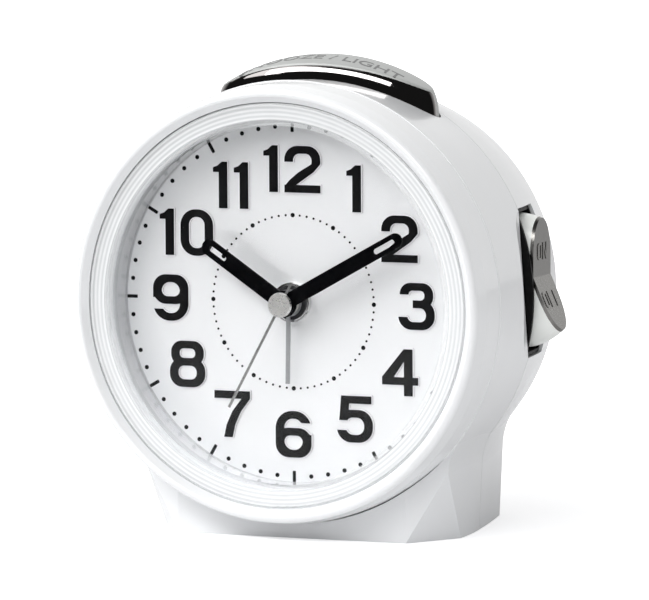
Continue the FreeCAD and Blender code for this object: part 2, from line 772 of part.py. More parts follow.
def make_snooze_bar():
    """Hollow crowned bar with two posts, their shoulders and a plunger in the middle."""
    shell = oval_prism(0.0, 0, FAR).common(crowned_block(0.0)).cut(disc(BAR_SKIRT_RADIUS, -FAR, FAR))
    rim = [edge for edge in shell.Edges if not hasattr(edge.Curve, "Radius")
           and edge.BoundBox.ZMin > BAR_SKIRT_RADIUS - NEAR and edge.BoundBox.XLength > NEAR]
    shell = shell.makeFillet(BAR_EDGE_ROUND, rim)
    hollow = oval_prism(-BAR_WALL, 0, FAR).common(crowned_block(BAR_WALL))
    roof = oval_prism(-BAR_WALL / 2, 0, FAR).common(crowned_block(BAR_WALL / 2))
    bar = shell.cut(hollow)
    for x in (-BAR_POST_X, BAR_POST_X):
        post = upright(BAR_POST_RADIUS, BAR_POST_END_Z, FAR, x, BAR_POST_Y).common(roof)
        shoulder = upright(BAR_SHOULDER_RADIUS, BAR_SHOULDER_Z, FAR, x, BAR_POST_Y).common(roof)
        bar = bar.fuse(post).fuse(shoulder)
    plunger = upright(PLUNGER_RADIUS, PLUNGER_END_Z, FAR, 0, BAR_POST_Y).common(roof)
    save("snooze_bar", bar.fuse(plunger).removeSplitter())


def make_snooze_small_parts():
    clips = []
    springs = []
    clip_top = BAR_PAD_BOTTOM_Z - CLIP_GAP
    for x in (-BAR_POST_X, BAR_POST_X):
        clip = upright(CLIP_RADIUS, clip_top - CLIP_THICKNESS, clip_top, x, BAR_POST_Y)
        clips.append(clip.cut(upright(BAR_POST_RADIUS, 0, FAR, x, BAR_POST_Y)))
        low = BAR_PAD_TOP_Z + SPRING_END_GAP
        high = BAR_SHOULDER_Z - SPRING_END_GAP
        spring = upright(SPRING_RADIUS, low, high, x, BAR_POST_Y)
        springs.append(spring.cut(upright(SPRING_RADIUS - SPRING_WALL, 0, FAR, x, BAR_POST_Y)))
    save("snooze_clips", Part.makeCompound(clips))
    save("snooze_springs", Part.makeCompound(springs))


def make_snooze_switch():
    front = BAR_POST_Y - SWITCH_BOARD_HALF
    back = BAR_POST_Y + SWITCH_BOARD_HALF
    board_top = SWITCH_BOARD_Z + SWITCH_BOARD_THICKNESS
    save("switch_board", box(-SWITCH_BOARD_HALF, SWITCH_BOARD_HALF, front, back, SWITCH_BOARD_Z, board_top))
    body = box(-SWITCH_HALF, SWITCH_HALF, BAR_POST_Y - SWITCH_HALF, BAR_POST_Y + SWITCH_HALF,
               board_top, board_top + SWITCH_HEIGHT)
    button = upright(SWITCH_BUTTON_RADIUS, board_top + SWITCH_HEIGHT, SWITCH_TOP_Z, 0, BAR_POST_Y)
    save("snooze_switch", body.fuse(button))


# alarm rocker, its housing, and the scoop in front of it

ROCKER_LEAN = math.radians(ROCKER_TILT)
ROCKER_TIP_U = ROCKER_HEEL + ROCKER_FACET * math.sin(ROCKER_LEAN)
ROCKER_TIP_V = ROCKER_FACET * math.cos(ROCKER_LEAN)
ROCKER_SWEEP = math.hypot(ROCKER_TIP_U, ROCKER_TIP_V)
ROCKER_MIDDLE_Y = ROCKER_FRONT_Y + ROCKER_WIDTH / 2
HOUSING_HALF = ROCKER_SWEEP + ROCKER_SWEEP_GAP + HOUSING_WALL
HOUSING_FRONT = ROCKER_FRONT_Y - ROCKER_SIDE_GAP - HOUSING_WALL
HOUSING_BACK = ROCKER_FRONT_Y + ROCKER_WIDTH + ROCKER_SIDE_GAP + HOUSING_WALL
HOUSING_FLOOR_X = ROCKER_PIVOT_X - HOUSING_DEPTH


def rocker_profile(sunk, front, back):
    """Rocker seen along its pin, pivot at the origin: two facets meeting at a shallow ridge."""
    ridge = ROCKER_HEEL - sunk / math.cos(ROCKER_LEAN)
    rise = 2 * ROCKER_TIP_V
    end = ridge + rise * math.tan(ROCKER_LEAN)
    corners = [(ridge, 0, 0), (end, rise, 0), (-ROCKER_EAR_DEPTH, rise, 0),
               (-ROCKER_EAR_DEPTH, -rise, 0), (end, -rise, 0)]
    return prism(corners, front, back)


def rocker_barrel(inset):
    """Barrel about the pin whose bulge rounds the rocker's tips and its underside."""
    half = ROCKER_WIDTH / 2
    start = ROCKER_SWEEP - ROCKER_TIP_RUN
    bulge = Part.Ellipse(vec(start + ROCKER_TIP_RUN - inset, ROCKER_MIDDLE_Y, 0),
                         vec(start, ROCKER_MIDDLE_Y + half - inset, 0), vec(start, ROCKER_MIDDLE_Y, 0))
    lens = Part.Face(Part.Wire(bulge.toShape()))
    drum = box(0, start, ROCKER_FRONT_Y + inset, ROCKER_FRONT_Y + ROCKER_WIDTH - inset, -1, 1)
    strip = lens.common(box(start, FAR, 0, FAR, -1, 1))
    barrel = strip.revolve(vec(0, 0, 0), ALONG_Y, FULL_TURN)
    core = disc(start, drum.BoundBox.YMin, drum.BoundBox.YMax)
    return fused(barrel, core)


def placed_rocker(shape):
    """From the pivot's own frame to the clock's, tipped with its upper half pressed in."""
    tipped = shape.copy()
    tipped.rotate(vec(0, 0, 0), ALONG_Y, -ROCKER_TILT)
    return tipped.translated(vec(ROCKER_PIVOT_X, 0, ROCKER_PIVOT_Z))


def letter(name, y):
    """Raised letter in front of the plane u = ROCKER_HEEL, upright along Z, standing at y."""
    low = ROCKER_HEEL - LETTER_RELIEF
    high = ROCKER_HEEL + LETTER_RELIEF
    half = LETTER_HEIGHT / 2
    far = y + LETTER_WIDTH
    stem = box(low, high, y, y + LETTER_STROKE, -half, half)
    top = box(low, high, y, far, half - LETTER_STROKE, half)
    if name == "F":
        bar = box(low, high, y, far - LETTER_STROKE, -LETTER_STROKE / 2, LETTER_STROKE / 2)
        return fused(stem, top, bar)
    other = box(low, high, far - LETTER_STROKE, far, -half, half)
    if name == "N":
        slant = [vec(low, y, half), vec(low, y + LETTER_STROKE, half), vec(low, far, -half),
                 vec(low, far - LETTER_STROKE, -half), vec(low, y, half)]
        diagonal = Part.Face(Part.makePolygon(slant)).extrude(vec(high - low, 0, 0))
        return fused(stem, other, diagonal)
    foot = box(low, high, y, far, -half, LETTER_STROKE - half)
    frame = fused(stem, other, top, foot)
    corners = [edge for edge in frame.Edges if abs(edge.BoundBox.XLength - (high - low)) < NEAR
               and abs(abs(edge.CenterOfMass.z) - half) < NEAR]
    return frame.makeFillet(LETTER_WIDTH / 2 - LETTER_STROKE / 2, corners)


def facet_word(word, upward):
    """Word across one facet, leaned with it."""
    width = LETTER_PITCH * (len(word) - 1) + LETTER_WIDTH
    letters = [letter(name, ROCKER_MIDDLE_Y - width / 2 + index * LETTER_PITCH)
               for index, name in enumerate(word)]
    group = Part.makeCompound(letters).translated(vec(0, 0, upward * LETTER_CENTRE))
    group.rotate(vec(ROCKER_HEEL, 0, 0), ALONG_Y, upward * ROCKER_TILT)
    return group.Solids


def make_rocker():
    """White rocker: backing under the facets, two hollow ears, and a hub on a web."""
    side = rocker_profile(ROCKER_PLATE, ROCKER_FRONT_Y, ROCKER_FRONT_Y + ROCKER_WIDTH)
    body = side.common(rocker_barrel(0.0))
    hollow = rocker_profile(ROCKER_PLATE + ROCKER_WALL, 0, FAR).common(rocker_barrel(ROCKER_WALL))
    below_hollow = hollow.fuse(hollow.translated(vec(-ROCKER_WALL, 0, 0)))
    body = body.cut(below_hollow)
    backing = ROCKER_HEEL - ROCKER_PLATE - ROCKER_WALL
    gap = box(-FAR, backing, 0, FAR, -ROCKER_EAR_START, ROCKER_EAR_START)
    body = body.cut(gap)
    hub_front = ROCKER_MIDDLE_Y - ROCKER_HUB_WIDTH / 2
    hub_back = hub_front + ROCKER_HUB_WIDTH
    hub = disc(ROCKER_HUB_RADIUS, hub_front, hub_back)
    web = box(0, backing + ROCKER_WALL / 2, hub_front, hub_back, -ROCKER_WALL, ROCKER_WALL)
    finger = box(CONTACT_REST_U, 0, ROCKER_MIDDLE_Y - ROCKER_WALL, ROCKER_MIDDLE_Y + ROCKER_WALL,
                 -ROCKER_WALL / 2, ROCKER_WALL / 2)
    bore = disc(ROCKER_PIN_RADIUS + ROCKER_PIN_FIT, 0, FAR)
    save("rocker", placed_rocker(fused(body, hub, web, finger).cut(bore)))


def make_rocker_plate():
    """Metallised facing plate with ON on the upper facet and OFF on the lower."""
    back = ROCKER_FRONT_Y + ROCKER_WIDTH
    slab = rocker_profile(0.0, ROCKER_FRONT_Y, back).cut(rocker_profile(ROCKER_PLATE, 0, FAR))
    plate = slab.common(rocker_barrel(0.0))
    words = facet_word("ON", 1) + facet_word("OFF", -1)
    save("rocker_plate", placed_rocker(plate.fuse(words).removeSplitter()))


def make_rocker_housing():
    """Black box behind the slot, open outwards, with the pin's two bearings."""
    top = ROCKER_PIVOT_Z + HOUSING_HALF
    bottom = ROCKER_PIVOT_Z - HOUSING_HALF
    outside = box(HOUSING_FLOOR_X, FAR, HOUSING_FRONT, HOUSING_BACK, bottom, top)
    inside = box(HOUSING_FLOOR_X + HOUSING_WALL, FAR, HOUSING_FRONT + HOUSING_WALL,
                 HOUSING_BACK - HOUSING_WALL, bottom + HOUSING_WALL, top - HOUSING_WALL)
    shell = outside.cut(inside).common(rear_round(HOUSING_SINK, SEAM_Y - 1))
    pin = disc(ROCKER_PIN_RADIUS, HOUSING_FRONT, HOUSING_BACK, ROCKER_PIVOT_X, ROCKER_PIVOT_Z)
    save("rocker_housing", shell.cut(pin))
    save("rocker_pin", pin)


CONTACT_REST_U = CONTACT_THICKNESS + HOUSING_WALL + CONTACT_CLEARANCE - HOUSING_DEPTH


def make_alarm_contact():
    """Flat contact strip on the housing's floor, wiped by the rocker's finger."""
    low = HOUSING_FLOOR_X + HOUSING_WALL
    half = CONTACT_WIDTH / 2
    strip = box(low, low + CONTACT_THICKNESS, ROCKER_MIDDLE_Y - half, ROCKER_MIDDLE_Y + half,
                ROCKER_PIVOT_Z - CONTACT_LENGTH / 2, ROCKER_PIVOT_Z + CONTACT_LENGTH / 2)
    save("alarm_contact", strip)


def rocker_slot():
    """Slot through the back half of the case, filled by the housing."""
    top = ROCKER_PIVOT_Z + HOUSING_HALF + HOUSING_FIT
    bottom = ROCKER_PIVOT_Z - HOUSING_HALF - HOUSING_FIT
    return box(HOUSING_FLOOR_X - HOUSING_FIT, FAR, SEAM_Y - SEAM_LIP_REACH - 1, HOUSING_BACK + HOUSING_FIT,
               bottom, top)


def scoop():
    """Finger scoop: a cylinder that leaves a flat-looking hollow before the slot."""
    inner_x = BODY_RADIUS_SEAM - SCOOP_DEPTH
    outer_x = body_radius(SEAM_Y - SCOOP_REACH)
    chord = vec(inner_x - outer_x, SCOOP_REACH, 0)
    middle = vec((inner_x + outer_x) / 2, SEAM_Y - SCOOP_REACH / 2, 0)
    outward = vec(chord.y, -chord.x, 0).normalize()
    centre = middle + outward * math.sqrt(SCOOP_RADIUS ** 2 - (chord.Length / 2) ** 2)
    cutter = Part.makeCylinder(SCOOP_RADIUS, 2 * BODY_RADIUS_FRONT,
                               vec(centre.x, centre.y, -BODY_RADIUS_FRONT), ALONG_Z)
    lean = math.degrees(math.asin(ROCKER_PIVOT_Z / BODY_RADIUS_SEAM))
    cutter.rotate(vec(0, 0, 0), ALONG_Y, -lean)
    return cutter


def scoop_backing():
    """Extra thickness inside the front half, where the scoop would cut through its wall."""
    half = HOUSING_HALF + SCOOP_DEPTH
    block = box(BODY_RADIUS_SEAM - SCOOP_DEPTH - 2 * WALL, FAR, SEAM_Y - SCOOP_REACH - WALL,
                SEAM_Y, ROCKER_PIVOT_Z - half, ROCKER_PIVOT_Z + half)
    return block.common(front_round(WALL / 2, 0.0, SEAM_Y - SEAM_GAP))


# the two halves of the case

def boss_places():
    return [(SCREW_HIGH_X, SCREW_HIGH_Z), (-SCREW_HIGH_X, SCREW_HIGH_Z),
            (SCREW_LOW_X, SCREW_LOW_Z), (-SCREW_LOW_X, SCREW_LOW_Z)]


def make_front_case():
    seam = SEAM_Y - SEAM_GAP
    half = front_shell().cut(disc(COLLAR_INNER_RADIUS, -FAR, DIAL_THICKNESS))
    half = half.cut(well_hollow(BAR_FIT + WELL_WALL / 2))
    added = [ring(COLLAR_OUTER_RADIUS, COLLAR_INNER_RADIUS, COLLAR_FRONT_Y, DIAL_THICKNESS),
             well_cup(front_round(0.0, 0.0, seam)), scoop_backing(), well_pads(), switch_ribs()]
    added += [disc(BOSS_RADIUS, DIAL_WALL_BACK - WALL / 2, seam, x, z) for x, z in boss_places()]
    half = half.fuse(added)
    removed = [disc(SCREW_RADIUS + SCREW_FIT, seam - SCREW_LENGTH - WALL, FAR, x, z) for x, z in boss_places()]
    removed.append(disc(BUSH_RADIUS + HUB_HOLE_FIT, -FAR, FAR))
    removed.append(disc(LAMP_RADIUS + LAMP_FIT, -1, DIAL_WALL_BACK + 1, 0, LAMP_Z))
    removed += [well_holes(), scoop()]
    save("front_case", half.cut(removed).removeSplitter())


def seam_lip():
    """Tongue of the back half that reaches inside the front half all round."""
    outer = BODY_RADIUS_SEAM - WALL - SEAM_GAP
    hoop = ring(outer, outer - SEAM_LIP, SEAM_Y - SEAM_LIP_REACH, SEAM_Y + SEAM_LIP_REACH)
    root = ring(BODY_RADIUS_SEAM - WALL / 2, outer - SEAM_LIP, SEAM_Y, SEAM_Y + SEAM_LIP_REACH)
    well = oval_prism(BAR_FIT + WELL_WALL + SEAM_GAP, 0, FAR)
    base = box(-FAR, FAR, -FAR, FAR, -FAR, LIP_BOTTOM_Z)
    half = HOUSING_HALF + SCOOP_DEPTH + SEAM_GAP
    side = box(0, FAR, -FAR, FAR, ROCKER_PIVOT_Z - half, ROCKER_PIVOT_Z + half)
    return hoop.fuse(root).cut([well, base, side])


def knob_places():
    return [(-SET_ARBOR_X, SET_ARBOR_Z), (SET_ARBOR_X, SET_ARBOR_Z)]


POCKET_FLOOR = BODY_DEPTH - POCKET_DEPTH


def battery_tray(grow, front, back):
    """Block around the battery and its contacts, larger by grow."""
    half = BATTERY_RADIUS + TRAY_FIT + grow
    return box(TRAY_LEFT - grow, TRAY_RIGHT + grow, front, back, BATTERY_Z - half, BATTERY_Z + half)


TRAY_LEFT = -BATTERY_BODY / 2 - BATTERY_SPRING_LENGTH - CONTACT_PLATE
TRAY_RIGHT = BATTERY_BODY / 2 + BATTERY_NUB + CONTACT_PLATE
BATTERY_Y = BODY_DEPTH - DOOR_THICKNESS - TRAY_FIT - BATTERY_RADIUS
TRAY_FRONT = BATTERY_Y - BATTERY_RADIUS - TRAY_FIT
DOOR_HALF = BATTERY_RADIUS + TRAY_FIT + DOOR_LEDGE
DOOR_PIN_Y = BODY_DEPTH - DOOR_THICKNESS / 2
DOOR_PIN_Z = BATTERY_Z - DOOR_HALF + DOOR_FIT + DOOR_THICKNESS / 2


def grille_holes():
    holes = [disc(GRILLE_HOLE_RADIUS, BODY_DEPTH - 2 * WALL, FAR, 0, SOUNDER_Z)]
    for row in range(1, GRILLE_RINGS + 1):
        count = 6 * row
        for index in range(count):
            x, z = polar(GRILLE_PITCH * row, FULL_TURN * index / count)
            holes.append(disc(GRILLE_HOLE_RADIUS, BODY_DEPTH - 2 * WALL, FAR, x, SOUNDER_Z + z))
    return holes


def make_rear_case():
    inner_back = BODY_DEPTH - WALL
    seam = SEAM_Y
    half = rear_shell().cut(well_hollow(BAR_FIT + WELL_WALL / 2))
    added = [seam_lip(), well_cup(rear_round(0.0, SEAM_Y)), battery_tray(TRAY_WALL, TRAY_FRONT - TRAY_WALL, inner_back + WALL / 2)]
    added += [disc(BOSS_RADIUS, seam, inner_back + WALL / 2, x, z) for x, z in boss_places()]
    added += [disc(POCKET_RADIUS + POCKET_WALL, POCKET_FLOOR - POCKET_WALL, inner_back + WALL / 2, x, z)
              for x, z in knob_places()]
    added.append(ring(SOUNDER_RADIUS + SOUNDER_FIT + SOUNDER_WALL, SOUNDER_RADIUS + SOUNDER_FIT,
                      inner_back - SOUNDER_RIM_THICKNESS, inner_back + WALL / 2, 0, SOUNDER_Z))
    half = half.fuse(added)
    removed = [battery_tray(0.0, TRAY_FRONT, FAR)]
    removed += [disc(BOSS_RADIUS - BOSS_WALL, seam + SCREW_SEAT, FAR, x, z) for x, z in boss_places()]
    removed += [disc(SCREW_RADIUS + RUNNING_FIT, 0, FAR, x, z) for x, z in boss_places()]
    removed += [disc(POCKET_RADIUS, POCKET_FLOOR, FAR, x, z) for x, z in knob_places()]
    removed += [disc(SET_ARBOR_RADIUS + ARBOR_HOLE_FIT, 0, FAR, x, z) for x, z in knob_places()]
    removed += [rocker_slot(), door_recess(), door_notch()] + grille_holes()
    half = half.cut(removed).removeSplitter()
    save("rear_case", half)


def door_recess():
    """Shallow recess that the door lies in, with the two pin holes at its lower corners."""
    left = TRAY_LEFT - DOOR_LEDGE
    right = TRAY_RIGHT + DOOR_LEDGE
    recess = box(left, right, BODY_DEPTH - DOOR_THICKNESS, FAR, BATTERY_Z - DOOR_HALF, BATTERY_Z + DOOR_HALF)
    reach = DOOR_PIN_REACH + DOOR_FIT
    pins = Part.makeCylinder(DOOR_PIN_RADIUS + DOOR_PIN_FIT, right - left + 2 * reach,
                             vec(left - reach, DOOR_PIN_Y, DOOR_PIN_Z), ALONG_X)
    return recess.fuse(pins)


def door_notch():
    """Thumb notch above the door."""
    return disc(DOOR_NOTCH_RADIUS, BODY_DEPTH - DOOR_THICKNESS, FAR, DOOR_MIDDLE_X, BATTERY_Z + DOOR_HALF)


DOOR_MIDDLE_X = (TRAY_LEFT + TRAY_RIGHT) / 2


def make_battery_door():
    """Door plate with a rounded hinge edge, two pins and thumb ribs."""
    left = TRAY_LEFT - DOOR_LEDGE + DOOR_FIT
    right = TRAY_RIGHT + DOOR_LEDGE - DOOR_FIT
    plate = box(left, right, BODY_DEPTH - DOOR_THICKNESS, BODY_DEPTH, DOOR_PIN_Z, BATTERY_Z + DOOR_HALF - DOOR_FIT)
    edge = Part.makeCylinder(DOOR_THICKNESS / 2, right - left, vec(left, DOOR_PIN_Y, DOOR_PIN_Z), ALONG_X)
    pins = Part.makeCylinder(DOOR_PIN_RADIUS, right - left + 2 * DOOR_PIN_REACH,
                             vec(left - DOOR_PIN_REACH, DOOR_PIN_Y, DOOR_PIN_Z), ALONG_X)
    door = fused(plate, edge, pins)
    for index in range(DOOR_RIBS):
        low = BATTERY_Z + DOOR_HALF - DOOR_FIT - DOOR_RIB_PITCH * (index + 1)
        rib = box(DOOR_MIDDLE_X - DOOR_RIB_LENGTH / 2, DOOR_MIDDLE_X + DOOR_RIB_LENGTH / 2,
                  BODY_DEPTH - DOOR_THICKNESS / 2, BODY_DEPTH + DOOR_RIB_HEIGHT, low, low + DOOR_RIB_WIDTH)
        door = door.fuse(rib)
    save("battery_door", door.removeSplitter())


def make_battery():
    shell = Part.makeCylinder(BATTERY_RADIUS, BATTERY_BODY, vec(-BATTERY_BODY / 2, BATTERY_Y, BATTERY_Z), ALONG_X)
    nub = Part.makeCylinder(BATTERY_NUB_RADIUS, BATTERY_NUB, vec(BATTERY_BODY / 2, BATTERY_Y, BATTERY_Z), ALONG_X)
    save("battery", fused(shell, nub))
    half = CONTACT_PLATE_HALF
    plus_x = BATTERY_BODY / 2 + BATTERY_NUB
    save("battery_plus_contact", box(plus_x, plus_x + CONTACT_PLATE, BATTERY_Y - half, BATTERY_Y + half,
                                     BATTERY_Z - half, BATTERY_Z + half))
    plate = box(TRAY_LEFT, TRAY_LEFT + CONTACT_PLATE, BATTERY_Y - half, BATTERY_Y + half,
                BATTERY_Z - half, BATTERY_Z + half)
    coil = Part.makeCone(BATTERY_SPRING_RADIUS, BATTERY_NUB_RADIUS, BATTERY_SPRING_LENGTH,
                         vec(TRAY_LEFT + CONTACT_PLATE, BATTERY_Y, BATTERY_Z), ALONG_X)
    bore = Part.makeCylinder(BATTERY_NUB_RADIUS - SPRING_WALL, FAR, vec(TRAY_LEFT + CONTACT_PLATE,
                             BATTERY_Y, BATTERY_Z), ALONG_X)
    save("battery_minus_spring", fused(plate, coil.cut(bore)))


def make_case_screws():
    seat = SEAM_Y + SCREW_SEAT
    screws = []
    for x, z in boss_places():
        head = disc(SCREW_HEAD_RADIUS, seat, seat + SCREW_HEAD_HEIGHT, x, z)
        shank = disc(SCREW_RADIUS, SEAM_Y - SCREW_LENGTH, seat, x, z)
        screws.append(fused(head, shank).cut(screw_cross(x, z, seat + SCREW_HEAD_HEIGHT, SCREW_HEAD_RADIUS)))
    save("case_screws", Part.makeCompound(screws))


def screw_cross(x, z, top, radius):
    """Cross recess in a screw head whose face is at y = top."""
    arm = radius * SCREW_CROSS_SHARE
    half = SCREW_CROSS_WIDTH / 2
    across = box(x - arm, x + arm, top - SCREW_CROSS_DEPTH, top, z - half, z + half)
    return across.fuse(box(x - half, x + half, top - SCREW_CROSS_DEPTH, top, z - arm, z + arm))


# bezel, lens and dial

def make_bezel():
    seat = COLLAR_OUTER_RADIUS + BEZEL_FIT
    lip = LENS_RADIUS + LENS_FIT
    corners = [(lip, BEZEL_LIP_BACK_Y, 0), (lip, LENS_FRONT_Y + BEZEL_SEAT_GAP, 0),
               (lip + BEZEL_NOSE_ROUND, BEZEL_FRONT_Y, BEZEL_LIP_ROUND),
               (BEZEL_FRONT_RADIUS, BEZEL_FRONT_Y, BEZEL_NOSE_ROUND),
               (BEZEL_SIDE_RADIUS, BEZEL_SHOULDER_Y, BEZEL_SHOULDER_ROUND),
               (BODY_RADIUS_FRONT, -BEZEL_SEAT_GAP, BEZEL_SEAT_GAP),
               (seat, -BEZEL_SEAT_GAP, 0), (seat, BEZEL_LIP_BACK_Y, 0)]
    save("front_bezel", turned(corners))


COLLAR_FRONT_Y = BEZEL_LIP_BACK_Y + LENS_FLANGE_THICKNESS + LENS_FIT


def make_lens():
    """Clear cap: flat window proud of the bezel, flange behind its lip, stepped skirt to the dial."""
    back = LENS_FRONT_Y + LENS_THICKNESS
    flange_front = BEZEL_LIP_BACK_Y + LENS_FIT / 2
    flange_back = flange_front + LENS_FLANGE_THICKNESS
    upper_inner = SKIRT_UPPER_RADIUS - SKIRT_WALL
    lower_inner = SKIRT_LOWER_RADIUS - SKIRT_WALL
    corners = [(0, LENS_FRONT_Y, 0), (LENS_RADIUS, LENS_FRONT_Y, LENS_EDGE_ROUND),
               (LENS_RADIUS, flange_front, 0), (LENS_FLANGE_RADIUS, flange_front, 0),
               (LENS_FLANGE_RADIUS, flange_back, 0), (SKIRT_UPPER_RADIUS, flange_back, 0),
               (SKIRT_UPPER_RADIUS, SKIRT_STEP_Y + SKIRT_WALL, 0),
               (SKIRT_LOWER_RADIUS, SKIRT_STEP_Y + SKIRT_WALL, 0),
               (SKIRT_LOWER_RADIUS, 0, 0), (lower_inner, 0, 0),
               (lower_inner, SKIRT_STEP_Y, 0), (upper_inner, SKIRT_STEP_Y, 0),
               (upper_inner, back, 0), (0, back, 0)]
    save("lens", turned(corners))


def make_dial():
    save("dial", ring(DIAL_RADIUS, BUSH_RADIUS + HUB_HOLE_FIT, 0, DIAL_THICKNESS))
    nut = ring(NUT_RADIUS, BUSH_RADIUS + RUNNING_FIT, -NUT_THICKNESS, 0)
    for index in range(NUT_SLOTS):
        slot = box(-NUT_SLOT_WIDTH / 2, NUT_SLOT_WIDTH / 2, -NUT_THICKNESS, -NUT_THICKNESS / 2,
                   BUSH_RADIUS + NUT_SLOT_WIDTH / 2, FAR)
        slot.rotate(vec(0, 0, 0), ALONG_Y, FULL_TURN * index / NUT_SLOTS)
        nut = nut.cut(slot)
    save("dial_nut", nut)


def bowl(left, right, bottom, top, side, end):
    """Rounded ring between two rounded rectangles; side and end are its stroke widths."""
    outer_round = min(right - left, top - bottom) / 2 * BOWL_ROUND
    inner_round = min(right - left - 2 * side, top - bottom - 2 * end) / 2 * BOWL_ROUND
    outside = panel(left, right, bottom, top, outer_round)
    return outside.cut(panel(left + side, right - side, bottom + end, top - end, inner_round))


def panel(left, right, bottom, top, rounding=0.0):
    corners = [(left, bottom, rounding), (right, bottom, rounding),
               (right, top, rounding), (left, top, rounding)]
    return face_xz(corners)


def polygon(*points):
    return face_xz([(x, z, 0) for x, z in points])


# numerals, drawn in a cell centred on the origin and then scaled to NUMERAL_HEIGHT

def digit_one():
    return polygon((ONE_RIGHT, TALL), (ONE_RIGHT, -TALL), (ONE_RIGHT - STEM, -TALL), (ONE_RIGHT - STEM, FLAG_LOW),
                   (-ONE_RIGHT, FLAG_LOW), (-ONE_RIGHT, FLAG_HIGH), (ONE_NICK_X, ONE_NICK_Z), (ONE_PEAK_X, TALL))


def digit_two():
    arch = bowl(-WIDE, WIDE, TWO_BOWL_LOW, TALL, STEM, THIN)
    arch = arch.cut(panel(-2 * WIDE, 0, -TALL, TWO_CUT_HIGH)).cut(panel(-2 * WIDE, 2 * WIDE, -TALL, TWO_CUT_LOW))
    foot = panel(-WIDE, WIDE, -TALL, THIN - TALL)
    sweep = polygon((-WIDE, -TALL), (-WIDE, TWO_HEEL_Z), (TWO_BEND_X, TWO_BEND_Z), (TWO_WAIST_X, TWO_WAIST_Z),
                    (WIDE - STEM, TWO_CUT_LOW), (WIDE, TWO_CUT_LOW), (TWO_HIP_X, TWO_HIP_Z),
                    (TWO_CROTCH_X, THIN - TALL), (TWO_CROTCH_X, -TALL))
    return fused(arch, foot, sweep)


def digit_three():
    upper = bowl(-UPPER_WIDE, UPPER_WIDE, THREE_WAIST - THIN / 2, TALL, STEM, THIN)
    lower = bowl(-WIDE, WIDE, -TALL, THREE_WAIST + THIN / 2, STEM, THIN)
    opening = panel(-2 * WIDE, THREE_TONGUE_X, THREE_OPEN_LOW, THREE_OPEN_HIGH)
    return fused(upper, lower).cut(opening)


def digit_four():
    body = polygon((FOUR_STEM_LEFT, TALL), (FOUR_STEM_RIGHT, TALL), (FOUR_STEM_RIGHT, -TALL),
                   (FOUR_STEM_RIGHT - STEM, -TALL), (FOUR_STEM_RIGHT - STEM, FOUR_BAR_LOW),
                   (-WIDE, FOUR_BAR_LOW), (-WIDE, FOUR_BAR_LOW + THIN))
    bar = panel(-WIDE, WIDE, FOUR_BAR_LOW, FOUR_BAR_LOW + THIN)
    counter = polygon((FOUR_STEM_RIGHT - STEM, FOUR_COUNTER_TOP), (FOUR_STEM_RIGHT - STEM, FOUR_BAR_LOW + THIN),
                      (FOUR_COUNTER_LEFT, FOUR_BAR_LOW + THIN))
    return fused(body, bar).cut(counter)


def digit_five():
    ring_part = bowl(-WIDE, WIDE, -TALL, FIVE_BOWL_TOP, STEM, THIN)
    ring_part = ring_part.cut(panel(-2 * WIDE, FIVE_CUT_X, FIVE_CUT_LOW, FIVE_STEM_LOW))
    ring_part = ring_part.cut(panel(-2 * WIDE, FIVE_STEM_X, FIVE_STEM_LOW, TALL))
    bar = panel(FIVE_STEM_X, UPPER_WIDE, TALL - THIN, TALL)
    stem = polygon((FIVE_STEM_X, TALL), (FIVE_STEM_X + STEM, TALL), (FIVE_STEM_X + STEM - FIVE_SLANT, FIVE_STEM_LOW),
                   (FIVE_STEM_X - FIVE_SLANT, FIVE_STEM_LOW))
    return fused(ring_part, bar, stem)


def digit_six():
    tall_ring = bowl(-WIDE, WIDE, -TALL, TALL, STEM, THIN)
    tall_ring = tall_ring.cut(panel(0, 2 * WIDE, 0, SIX_TERMINAL_Z))
    low_ring = bowl(-WIDE, WIDE, -TALL, SIX_BOWL_TOP, STEM, THIN)
    return fused(tall_ring, low_ring)


def digit_seven():
    return polygon((-WIDE, TALL), (WIDE, TALL), (WIDE, TALL - THIN), (SEVEN_BEND_X, SEVEN_BEND_Z),
                   (SEVEN_KNEE_X, SEVEN_KNEE_Z), (SEVEN_FOOT_X + STEM, -TALL), (SEVEN_FOOT_X, -TALL),
                   (SEVEN_KNEE_X - STEM, SEVEN_KNEE_Z), (SEVEN_BEND_X - STEM, SEVEN_BEND_Z),
                   (WIDE - STEM, TALL - THIN), (-WIDE, TALL - THIN))


def digit_eight():
    upper = bowl(-UPPER_WIDE, UPPER_WIDE, EIGHT_WAIST - THIN / 2, TALL, STEM, THIN)
    lower = bowl(-WIDE, WIDE, -TALL, EIGHT_WAIST + THIN / 2, STEM, THIN)
    return fused(upper, lower)


def digit_nine():
    nine = digit_six()
    nine.rotate(vec(0, 0, 0), ALONG_Y, FULL_TURN / 2)
    return nine


def digit_zero():
    return bowl(-UPPER_WIDE, UPPER_WIDE, -TALL, TALL, STEM, THIN)


DIGITS = [digit_zero, digit_one, digit_two, digit_three, digit_four,
          digit_five, digit_six, digit_seven, digit_eight, digit_nine]


def numeral_faces(number):
    """Flat faces of one numeral, upright at its hour."""
    faces = []
    cursor = 0.0
    for name in str(number):
        face = DIGITS[int(name)]()
        face.scale(NUMERAL_HEIGHT / (2 * TALL))
        bounds = face.BoundBox
        faces.append(face.translated(vec(cursor - bounds.XMin, 0, 0)))
        cursor += bounds.XLength + NUMERAL_GAP
    angle = math.radians(FULL_TURN * number / 12)
    shift = vec(NUMERAL_CIRCLE * math.sin(angle) - (cursor - NUMERAL_GAP) / 2, 0,
                NUMERAL_CIRCLE * math.cos(angle))
    return [face.translated(shift) for face in faces]


